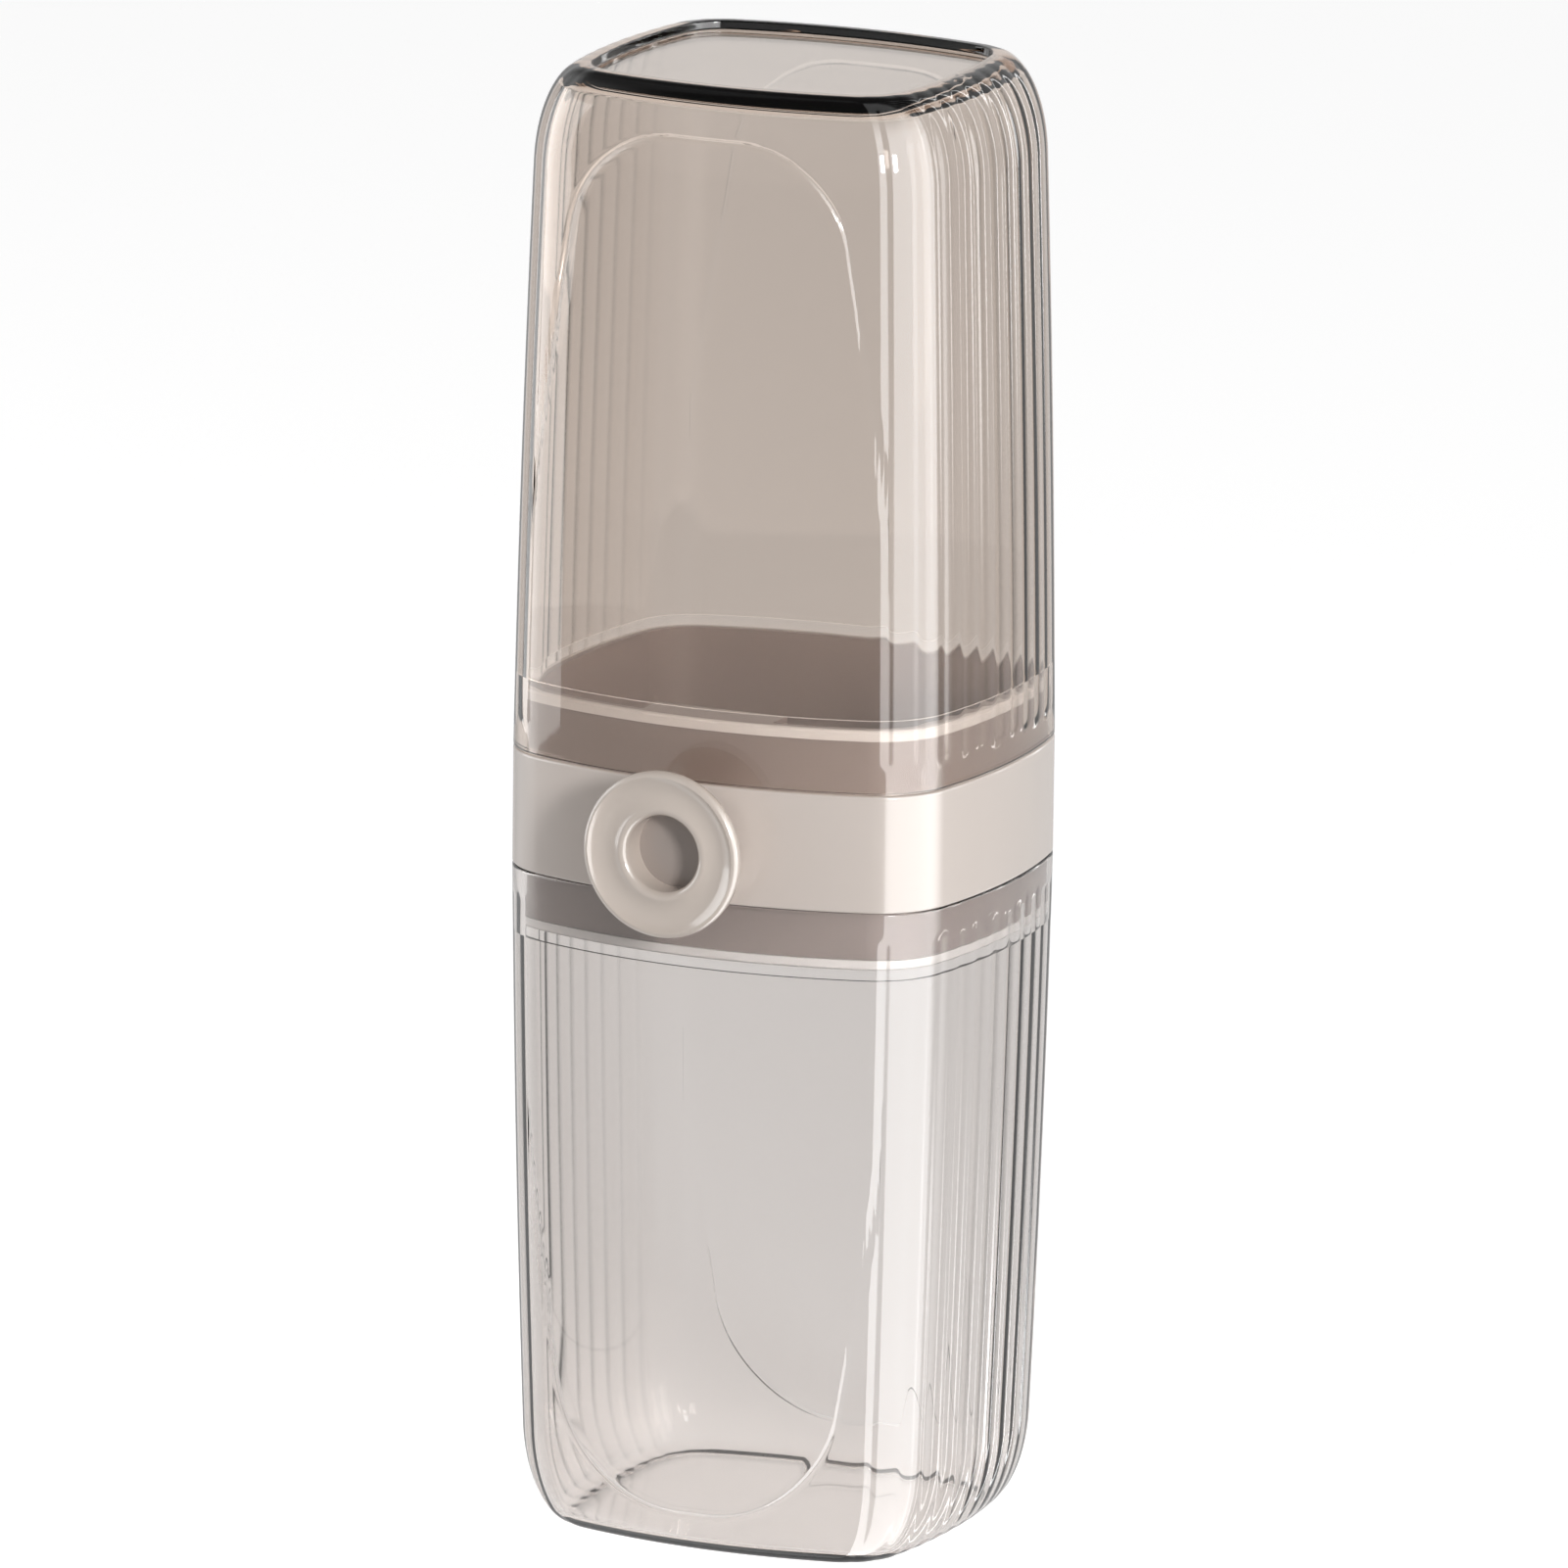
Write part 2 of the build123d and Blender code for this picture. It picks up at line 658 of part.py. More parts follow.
def screw_pair(head_seat, half_spacing, height, reach):
    """Two pan-head screws that point forwards, with their heads behind a seat."""
    places = pair_places(half_spacing, height)
    with BuildPart() as pair:
        with BuildSketch(front_plane(head_seat - screw_head_height)):
            with Locations(*places):
                Circle(screw_head_radius)
        extrude(amount=screw_head_height)
        with BuildSketch(front_plane(head_seat)):
            with Locations(*places):
                Circle(screw_radius)
        extrude(amount=reach)
        with BuildSketch(front_plane(head_seat - screw_head_height)):
            with Locations(*places):
                Rectangle(screw_slot_length, screw_slot_width)
                Rectangle(screw_slot_width, screw_slot_length)
        extrude(amount=screw_slot_depth, mode=Mode.SUBTRACT)
    return pair.part


with BuildPart() as latch_screws:
    foot_reach = tongue_thickness + screw_depth - screw_end_gap
    add(screw_pair(tongue_back, foot_screw_half_spacing, foot_screw_height, foot_reach))

with BuildPart() as latch_guard:
    guard_low = sleeve_bottom + guard_edge_gap
    guard_high = sleeve_top - guard_edge_gap
    add(front_block(guard_half_width, guard_low, guard_high, guard_face, band_face))
    cavity = front_block(
        guard_half_width - guard_wall,
        guard_low + guard_wall,
        guard_high - guard_wall,
        guard_inside,
        band_face + cut_margin,
    )
    add(cavity, mode=Mode.SUBTRACT)
    extrude(
        smooth_plan(Plane.XY.offset(sleeve_bottom), *mouth_plan, sleeve_inner_inset + fit_clearance),
        amount=sleeve_top - sleeve_bottom,
        mode=Mode.INTERSECT,
    )
    with BuildSketch(front_plane(guard_face)):
        with Locations(*pair_places(pillar_half_spacing, pillar_height)):
            Circle(screw_radius + fit_clearance)
    extrude(amount=guard_wall, mode=Mode.SUBTRACT)

with BuildPart() as guard_screws:
    guard_reach = guard_wall + screw_depth - screw_end_gap
    add(screw_pair(guard_face, pillar_half_spacing, pillar_height, guard_reach))

pieces = {
    "base_cup": base_cup,
    "cover_cup": cover_cup,
    "inner_sleeve": inner_sleeve,
    "outer_band": outer_band,
    "upper_seal": upper_seal,
    "lower_seal": lower_seal,
    "button_ring": button_ring,
    "button_stem": button_stem,
    "button_guide": button_guide,
    "button_spring": button_spring,
    "button_clip": button_clip,
    "latch_tongue": latch_tongue,
    "latch_screws": latch_screws,
    "latch_guard": latch_guard,
    "guard_screws": guard_screws,
}
for name, piece in pieces.items():
    piece.part.label = name
    export_step(piece.part, f"parts/{name}.step")
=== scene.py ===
"""Looks of an upright two-cup travel case: clear reeded cups, a glossy band and a ring-shaped button."""

import logging
import math
from collections.abc import Sequence
from dataclasses import dataclass, field
from enum import Enum

import bpy
import numpy as np
from mathutils import Matrix, Vector


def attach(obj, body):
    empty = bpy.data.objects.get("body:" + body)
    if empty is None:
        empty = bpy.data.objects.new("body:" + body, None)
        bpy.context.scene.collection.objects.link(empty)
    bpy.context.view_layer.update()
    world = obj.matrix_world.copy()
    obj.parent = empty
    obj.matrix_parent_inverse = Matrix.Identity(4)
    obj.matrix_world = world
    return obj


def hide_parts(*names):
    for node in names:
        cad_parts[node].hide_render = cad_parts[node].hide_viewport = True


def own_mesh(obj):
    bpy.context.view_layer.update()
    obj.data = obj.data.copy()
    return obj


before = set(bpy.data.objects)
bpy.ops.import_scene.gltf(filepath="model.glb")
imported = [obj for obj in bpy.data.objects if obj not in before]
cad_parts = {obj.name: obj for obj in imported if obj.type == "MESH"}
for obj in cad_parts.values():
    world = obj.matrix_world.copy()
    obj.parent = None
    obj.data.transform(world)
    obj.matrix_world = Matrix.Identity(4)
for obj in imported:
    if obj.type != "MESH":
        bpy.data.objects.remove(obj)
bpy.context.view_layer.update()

log = logging.getLogger("travel_case")

MM = 0.001
FRAME_PIXELS = 1601
SENSOR_MM = 36.0
SHARP_ANGLE = math.radians(38)
ROUND_ANGLES = (0, 30, 60, 90)
Array = np.ndarray
Faces = list[tuple[int, ...]]
Colour = tuple[float, float, float]
Socket = bpy.types.NodeSocket
Material = bpy.types.Material
Piece = bpy.types.Object
WHITE = (1.0, 1.0, 1.0, 1.0)


# Materials


class Value:
    """A number in a material: a node's output whose arithmetic adds Math nodes."""

    def __init__(self, sheet: "Sheet", socket: Socket) -> None:
        """Keeps the sheet that the nodes are added to, and the output."""
        self.sheet = sheet
        self.socket = socket

    def _math(self, operation: str, first: object, second: object = 0.0) -> "Value":
        """One Math node on two numbers or outputs.

        Args:
            operation: the Math node's operation.
            first: its first input.
            second: its second input.

        Returns:
            The node's output as a Value.
        """
        node = self.sheet.node("ShaderNodeMath", {"operation": operation}, {0: first, 1: second})
        return Value(self.sheet, node.outputs[0])

    def __add__(self, other: object) -> "Value":
        """Sum."""
        return self._math("ADD", self, other)

    __radd__ = __add__

    def __mul__(self, other: object) -> "Value":
        """Product."""
        return self._math("MULTIPLY", self, other)

    __rmul__ = __mul__

    def __sub__(self, other: object) -> "Value":
        """Difference."""
        return self._math("SUBTRACT", self, other)

    def __rsub__(self, other: object) -> "Value":
        """Difference the other way round."""
        return self._math("SUBTRACT", other, self)

    def largest(self, other: object) -> "Value":
        """The larger of two values."""
        return self._math("MAXIMUM", self, other)

    def rise(self, start: float, stop: float) -> "Value":
        """Smooth rise from 0 to 1 between two values."""
        limits = {"Value": self, "From Min": start, "From Max": stop}
        return self.sheet.value("ShaderNodeMapRange", 0, {"interpolation_type": "SMOOTHSTEP"}, limits)

    def between(self, rise: tuple[float, float], fall: tuple[float, float]) -> "Value":
        """1 between two values, with a smooth edge on each side."""
        return self.rise(*rise) * (1 - self.rise(*fall))


class Sheet:
    """A node tree that is filled by one method."""

    def __init__(self, tree: bpy.types.NodeTree) -> None:
        """Empties the tree and keeps it."""
        tree.nodes.clear()
        self.tree = tree

    def node(self, kind: str, settings: dict | None = None, inputs: dict | None = None) -> bpy.types.Node:
        """Adds a node.

        Args:
            kind: the node's type.
            settings: its properties, which are set first.
            inputs: a number, colour, Value or output for each input, by name or index.

        Returns:
            The new node.
        """
        made = self.tree.nodes.new(kind)
        for name, setting in (settings or {}).items():
            setattr(made, name, setting)
        for key, given in (inputs or {}).items():
            if isinstance(given, Value):
                given = given.socket
            if isinstance(given, Socket):
                self.tree.links.new(given, made.inputs[key])
            else:
                made.inputs[key].default_value = given
        return made

    def value(
        self, kind: str, output: str | int, settings: dict | None = None, inputs: dict | None = None
    ) -> Value:
        """Adds a node and returns one of its outputs as a Value."""
        return Value(self, self.node(kind, settings, inputs).outputs[output])

    def place(self) -> Socket:
        """Object coordinates."""
        return self.node("ShaderNodeTexCoord").outputs["Object"]

    def rays(self) -> tuple[Value, Value, Value]:
        """Whether a ray comes from the camera, from gloss, and through something clear."""
        path = self.node("ShaderNodeLightPath").outputs
        kinds = ("Is Camera Ray", "Is Glossy Ray", "Is Transmission Ray")
        camera, glossy, clear = (Value(self, path[kind]) for kind in kinds)
        return camera, glossy, clear

    def noise(
        self, scale: float, detail: float = 3.0, stretch: tuple[float, float, float] = (1, 1, 1)
    ) -> Value:
        """Noise between 0 and 1 on Object coordinates.

        Args:
            scale: the noise's scale per metre.
            detail: the number of finer layers.
            stretch: the scale of each axis, smaller where the noise runs long.

        Returns:
            The noise's value.
        """
        mapped = self.node("ShaderNodeMapping", {}, {"Vector": self.place(), "Scale": stretch})
        spread = {"Vector": mapped.outputs[0], "Scale": scale, "Detail": detail}
        return self.value("ShaderNodeTexNoise", 0, {}, spread)

    def bump(self, height: Value, distance: float, strength: float = 1.0) -> Socket:
        """Normal of a surface whose height varies by a distance in metres."""
        inputs = {"Height": height, "Distance": distance, "Strength": strength}
        return self.node("ShaderNodeBump", {}, inputs).outputs[0]

    def tinted(self, share: Value, colour: Colour, darker: float, lighter: float) -> Socket:
        """Colour between two shades of one colour, each given as a factor."""
        inputs = {0: share, 6: (*shade(colour, darker), 1.0), 7: (*shade(colour, lighter), 1.0)}
        return self.node("ShaderNodeMix", {"data_type": "RGBA"}, inputs).outputs[2]

    def shader(self, inputs: dict) -> Socket:
        """Output of a Principled shader."""
        return self.node("ShaderNodeBsdfPrincipled", {}, inputs).outputs[0]

    def output(self, surface: Socket, volume: Socket | None = None) -> None:
        """Ends the material in its surface, and in what fills it.

        Args:
            surface: the output of a shader.
            volume: the output of a volume shader, where something fills the piece.
        """
        inputs = {"Surface": surface}
        if volume is not None:
            inputs["Volume"] = volume
        self.node("ShaderNodeOutputMaterial", {}, inputs)


def new_sheet(name: str) -> tuple[Material, Sheet]:
    """Makes an empty node material.

    Args:
        name: the material's name.

    Returns:
        The material and its sheet.
    """
    material = bpy.data.materials.new(name)
    material.use_nodes = True
    return material, Sheet(material.node_tree)


def shade(colour: Colour, factor: float) -> tuple[float, ...]:
    """A colour made lighter or darker by a factor."""
    return tuple(min(part * factor, 1.0) for part in colour)


@dataclass(frozen=True)
class ClearPlastic:
    """Polished clear plastic that darkens with its thickness."""

    name: str
    passed: Colour
    density: float
    index: float = 1.49
    polish: float = 0.005
    smear: float = 0.03
    smear_scale: float = 35.0
    ripple: float = 0.00006
    ripple_scale: float = 60.0
    shadow: float = 0.93

    def material(self) -> Material:
        """Clear surface with faint moulding ripples, filled with a tint that grows with the depth.

        Returns:
            The material, which lets lamps through as if it were thin.
        """
        made, sheet = new_sheet(self.name)
        ripple = sheet.noise(self.ripple_scale, 1.0, (1.0, 1.0, 0.15))
        handled = sheet.noise(self.smear_scale, 4.0)
        looks = {
            "Base Color": WHITE,
            "Roughness": handled * self.smear + self.polish,
            "IOR": self.index,
            "Transmission Weight": 1.0,
            "Normal": sheet.bump(ripple, self.ripple, 0.35),
        }
        passed_light = (self.shadow, self.shadow, self.shadow, 1.0)
        lets_light_in = sheet.node("ShaderNodeBsdfTransparent", {}, {"Color": passed_light}).outputs[0]
        from_lamp = sheet.value("ShaderNodeLightPath", "Is Shadow Ray")
        inputs = {0: from_lamp, 1: sheet.shader(looks), 2: lets_light_in}
        mixed = sheet.node("ShaderNodeMixShader", {}, inputs)
        filling = {"Color": (*self.passed, 1.0), "Density": self.density}
        tint = sheet.node("ShaderNodeVolumeAbsorption", {}, filling)
        sheet.output(mixed.outputs[0], tint.outputs[0])
        return made


@dataclass(frozen=True)
class MouldedPlastic:
    """Opaque moulded plastic, from satin to glossy."""

    name: str
    colour: Colour
    roughness: float
    coat: float = 0.0
    grain: float = 0.000004
    grain_scale: float = 900.0
    flow_scale: float = 28.0
    flow_tint: float = 0.035
    flow_gloss: float = 0.05
    grain_gloss: float = 0.04

    def material(self) -> Material:
        """Plastic with a faint flow of its colour, a fine grain and small changes in its gloss.

        Returns:
            The material, whose roughness has the given value as its middle.
        """
        made, sheet = new_sheet(self.name)
        flow = sheet.noise(self.flow_scale, 4.0, (1.0, 1.0, 0.4))
        speck = sheet.noise(self.grain_scale, 2.0)
        smoothest = self.roughness - (self.flow_gloss + self.grain_gloss) / 2
        looks = {
            "Base Color": sheet.tinted(flow, self.colour, 1 - self.flow_tint, 1 + self.flow_tint),
            "Roughness": flow * self.flow_gloss + speck * self.grain_gloss + smoothest,
            "IOR": 1.5,
            "Coat Weight": self.coat,
            "Coat Roughness": 0.03,
            "Normal": sheet.bump(speck, self.grain, 0.6),
        }
        sheet.output(sheet.shader(looks))
        return made


@dataclass(frozen=True)
class SoftSilicone:
    """Soft light silicone with a dusty surface."""

    name: str
    colour: Colour
    roughness: float = 0.42
    dust: float = 0.12
    dust_scale: float = 1400.0
    grain: float = 0.000008

    def material(self) -> Material:
        """Silicone with a fine matt grain that is a little lighter where dust lies.

        Returns:
            The material.
        """
        made, sheet = new_sheet(self.name)
        dust = sheet.noise(self.dust_scale, 3.0)
        looks = {
            "Base Color": sheet.tinted(dust, self.colour, 0.95, 1.04),
            "Roughness": dust * self.dust + self.roughness,
            "IOR": 1.42,
            "Normal": sheet.bump(dust, self.grain, 0.7),
        }
        sheet.output(sheet.shader(looks))
        return made


@dataclass(frozen=True)
class DrawnSteel:
    """Steel with the fine lines of drawing or turning."""

    name: str
    colour: Colour
    roughness: float
    line_gloss: float = 0.12
    line_scale: float = 900.0
    line_depth: float = 0.000005
    tarnish_scale: float = 160.0

    def material(self) -> Material:
        """Metal with fine lines across its length and a little tarnish.

        Returns:
            The material.
        """
        made, sheet = new_sheet(self.name)
        lines = sheet.noise(self.line_scale, 2.0, (1.0, 0.12, 1.0))
        tarnish = sheet.noise(self.tarnish_scale, 4.0)
        looks = {
            "Base Color": sheet.tinted(tarnish, self.colour, 0.9, 1.05),
            "Metallic": 1.0,
            "Roughness": lines * self.line_gloss + self.roughness,
            "Normal": sheet.bump(lines, self.line_depth, 0.6),
        }
        sheet.output(sheet.shader(looks))
        return made


class Finish(Enum):
    """The finishes of the case, each named for where it is used."""

    CLEAR_COVER = ClearPlastic("clear_cover", (0.463, 0.247, 0.067), density=150.0)
    CLEAR_BASE = ClearPlastic("clear_base", (0.50, 0.39, 0.32), density=120.0)
    # Sleeve finish: a taupe of its own, darkened further with painted shade, the shade that falls on the
    # collar inside the cups. The guide and the guard share this darkened colour.
    SLEEVE_WITH_PAINTED_SHADE = MouldedPlastic("sleeve", (0.187, 0.155, 0.143), 0.38, grain=0.000008, grain_scale=700.0)
    BAND = MouldedPlastic("band", (0.555, 0.492, 0.45), 0.16, coat=0.2, grain=0.000002)
    BUTTON = MouldedPlastic("button", (0.52, 0.455, 0.405), 0.16, coat=0.3)
    BUTTON_CORE = MouldedPlastic("button_core", (0.32, 0.275, 0.25), 0.2, coat=0.2)
    TONGUE = MouldedPlastic("tongue", (0.42, 0.37, 0.33), 0.35)
    SEAL = SoftSilicone("seal", (0.5, 0.485, 0.475))
    SPRING = DrawnSteel("spring", (0.62, 0.62, 0.63), 0.2)
    SCREW = DrawnSteel("screw", (0.56, 0.56, 0.57), 0.26)


Finishes = dict[Finish, Material]


def materials() -> Finishes:
    """One material for each finish."""
    return {finish: finish.value.material() for finish in Finish}


# Meshes


def closed_faces(rows: int, columns: int, looped: bool = False) -> Faces:
    """Quads between neighbouring rings of a grid whose columns run round and join up.

    Args:
        rows: number of rings.
        columns: number of points in a ring.
        looped: whether the last ring joins up with the first as well.

    Returns:
        The faces, by point number.
    """
    steps = rows if looped else rows - 1
    row, column = np.meshgrid(np.arange(steps), np.arange(columns), indexing="ij")
    here, there = row * columns, (row + 1) % rows * columns
    after = (column + 1) % columns
    quads = np.stack([here + column, here + after, there + after, there + column], axis=-1)
    return [tuple(quad) for quad in quads.reshape(-1, 4).tolist()]


def cap_faces(ring_start: int, columns: int, pole: int, flipped: bool) -> Faces:
    """Triangles from one ring to a pole point.

    Args:
        ring_start: number of the ring's first point.
        columns: number of points in the ring.
        pole: number of the pole point.
        flipped: whether the triangles run the other way round.

    Returns:
        The faces, by point number.
    """
    column = np.arange(columns)
    after = (column + 1) % columns
    first, second = (after, column) if flipped else (column, after)
    fan = np.stack([ring_start + first, ring_start + second, np.full(columns, pole)], axis=-1)
    return [tuple(face) for face in fan.tolist()]


def make_piece(name: str, points: Array, faces: Faces, finish: Material) -> Piece:
    """A mesh object at the origin with its place in its points.

    Args:
        name: the piece's name.
        points: its points in millimetres.
        faces: its faces.
        finish: its material.

    Returns:
        The object, smooth apart from its sharp edges, with its faces outwards.
    """
    mesh = bpy.data.meshes.new(name)
    mesh.from_pydata((points.reshape(-1, 3) * MM).tolist(), [], faces)
    mesh.update()
    mesh.polygons.foreach_set("use_smooth", np.ones(len(mesh.polygons), dtype=bool))
    if enclosed_volume(mesh) < 0:
        mesh.flip_normals()
    mesh.set_sharp_from_angle(angle=SHARP_ANGLE)
    mesh.materials.append(finish)
    made = bpy.data.objects.new(name, mesh)
    bpy.context.scene.collection.objects.link(made)
    log.info("%s: %d faces", name, len(mesh.polygons))
    return made


def enclosed_volume(mesh: bpy.types.Mesh) -> float:
    """Signed volume inside a closed mesh, a sixth of the sum of each triangle's triple product.

    Args:
        mesh: the mesh.

    Returns:
        The volume in cubic metres, below 0 where the faces point inwards.
    """
    mesh.calc_loop_triangles()
    corners = np.empty(len(mesh.loop_triangles) * 3, dtype=np.int32)
    mesh.loop_triangles.foreach_get("vertices", corners)
    flat = np.empty(len(mesh.vertices) * 3, dtype=np.float32)
    mesh.vertices.foreach_get("co", flat)
    a, b, c = np.moveaxis(flat.reshape(-1, 3)[corners.reshape(-1, 3)].astype(float), 1, 0)
    return float(np.einsum("ij,ij->i", a, np.cross(b, c)).sum() / 6)


def tube_grid(points: Array) -> tuple[Array, Faces]:
    """A grid of rings closed at both ends by poles at the rings' middles.

    Args:
        points: rings of points, as rows, columns, xyz.

    Returns:
        All points with the two poles last, and the faces.
    """
    rows, columns, _ = points.shape
    poles = np.stack([points[0].mean(axis=0), points[-1].mean(axis=0)])
    everything = np.concatenate([points.reshape(-1, 3), poles])
    faces = closed_faces(rows, columns)
    faces += cap_faces(0, columns, rows * columns, True)
    faces += cap_faces((rows - 1) * columns, columns, rows * columns + 1, False)
    return everything, faces


def turned_ring(profile: Array, columns: int, axis_height: float) -> tuple[Array, Faces]:
    """A closed profile turned round the button's axis.

    Args:
        profile: points as radius and distance in front of the centre plane, a closed loop.
        columns: number of steps round the axis.
        axis_height: the axis's height.

    Returns:
        Points (radius times the cosine and sine of the step's angle, across and up) and faces.
    """
    angle = np.linspace(0, 2 * math.pi, columns, endpoint=False)
    radius = profile[:, 0][:, None]
    across = radius * np.cos(angle)
    height = axis_height + radius * np.sin(angle)
    forward = np.broadcast_to(-profile[:, 1][:, None], across.shape)
    rings = np.stack([across, forward, height], axis=-1)
    return rings.reshape(-1, 3), closed_faces(len(rings), columns, looped=True)


def arc_points(centre: tuple[float, float], radius: float, start: float, stop: float, count: int) -> Array:
    """Points on an arc, by angles in degrees."""
    angle = np.radians(np.linspace(start, stop, count))
    return np.stack([centre[0] + radius * np.cos(angle), centre[1] + radius * np.sin(angle)], axis=-1)


def smooth_step(value: Array) -> Array:
    """Rises from 0 to 1 with level ends: three times the square less twice the cube."""
    held = np.clip(value, 0, 1)
    return held * held * (3 - 2 * held)


def edge_steps(radius: float, angles: Sequence[float] = ROUND_ANGLES) -> list[tuple[float, float]]:
    """Steps round an edge: the radius less its share along each side, by cosine and by sine."""
    turns = [math.radians(angle) for angle in angles]
    return [(radius * (1 - math.cos(turn)), radius * (1 - math.sin(turn))) for turn in turns]


@dataclass(frozen=True)
class Plan:
    """Rounded rectangle with bowed sides that both cups, the band and the sleeve share."""

    half_width: float = 35.3
    half_depth: float = 31.5
    corner_radius: float = 12.0
    front_radius: float = 80.0
    side_radius: float = 95.0
    end_half_width: float = 26.3
    end_half_depth: float = 24.1
    end_corner_radius: float = 8.0
    reeds_per_quarter: int = 6
    smooth_corner_share: float = 0.24
    front_columns: int = 54
    inside_columns: int = 11
    line_columns: int = 10
    reed_columns: int = 12
    gather: float = 1.6

    def sizes(self, share: Array) -> tuple[Array, Array, Array]:
        """Sizes a share of the way from the mouth to the closed end, in even steps.

        Args:
            share: that share.

        Returns:
            Half width, half depth and corner radius.
        """
        return (
            self.half_width + (self.end_half_width - self.half_width) * share,
            self.half_depth + (self.end_half_depth - self.half_depth) * share,
            self.corner_radius + (self.end_corner_radius - self.corner_radius) * share,
        )

    def columns(self) -> tuple[Array, Array]:
        """Where the columns of a quarter lie.

        Returns:
            A share of the smooth front stretch for each column (1 past it), and a share of the
            reeded stretch (0 before it).
        """
        front = np.linspace(0, 1, self.front_columns, endpoint=False)
        reeded = np.linspace(0, 1, self.reeds_per_quarter * self.reed_columns + 1)
        along_front = np.concatenate([front, np.ones(len(reeded))])
        along_reeds = np.concatenate([np.zeros(len(front)), reeded])
        return along_front, along_reeds


@dataclass
class Rings:
    """The rings of a surface that follows the plan, a row of numbers for each ring."""

    rows: list[tuple[float, ...]] = field(default_factory=list)

    def add(
        self,
        height: float,
        share: float,
        inset: float = 0.0,
        drawn_in: float = 0.0,
        reeds: float = 0.0,
        shrink: float = 1.0,
    ) -> None:
        """Adds a ring.

        Args:
            height: its distance from the mouth.
            share: how far its plan is from the mouth's to the closed end's.
            inset: parallel distance inside that plan.
            drawn_in: how much smaller the plan's half sizes are, at the same corner radius.
            reeds: share of the reeds' full depth.
            shrink: scale towards the middle.
        """
        self.rows.append((height, share, inset, drawn_in, reeds, shrink))


@dataclass(frozen=True)
class ArchLine:
    """Fine line along an arch on the smooth front and back of a cup."""

    end_gap: float = 7.0
    half_width: float = 19.5
    lean: float = 0.17
    radius: float = 14.0
    depth: float = 0.26
    width: float = 0.3
    spread: float = 2.2
    from_middle: float = 3.0
    from_reeds: float = 4.0

    def inside(self, across: Array, below: Array) -> Array:
        """Distance from the line, positive inside the arch.

        Two straight lines, one level at the crown and one leaning up the side, are joined by a
        round corner: the radius less the length of what is left of it past each line.

        Args:
            across: distances from the middle of the front, along the outline.
            below: distances below the crown.

        Returns:
            The distances from the line.
        """
        from_leg = (self.half_width + self.lean * below - across) / math.hypot(1, self.lean)
        left_leg = np.maximum(self.radius - from_leg, 0)
        left_crown = np.maximum(self.radius - below, 0)
        corner = self.radius - np.hypot(left_leg, left_crown)
        return np.where((left_leg > 0) & (left_crown > 0), corner, np.minimum(from_leg, below))

    def cut(self, across: Array, below: Array) -> Array:
        """Depth of the cut, a bell curve of the distance from the line."""
        return self.depth * np.exp(-((self.inside(across, below) / self.width) ** 2))

    def reach(self, below: Array) -> Array:
        """How far out from the middle the line lies.

        Args:
            below: distances below the crown.

        Returns:
            The distances along the outline, drawn in round the corner as a circle is.
        """
        held = np.maximum(below, 0)
        into = np.maximum(self.radius - held, 0)
        drawn = self.radius - np.sqrt(np.maximum(self.radius**2 - into**2, 0))
        return self.half_width + self.lean * held - drawn * math.hypot(1, self.lean)


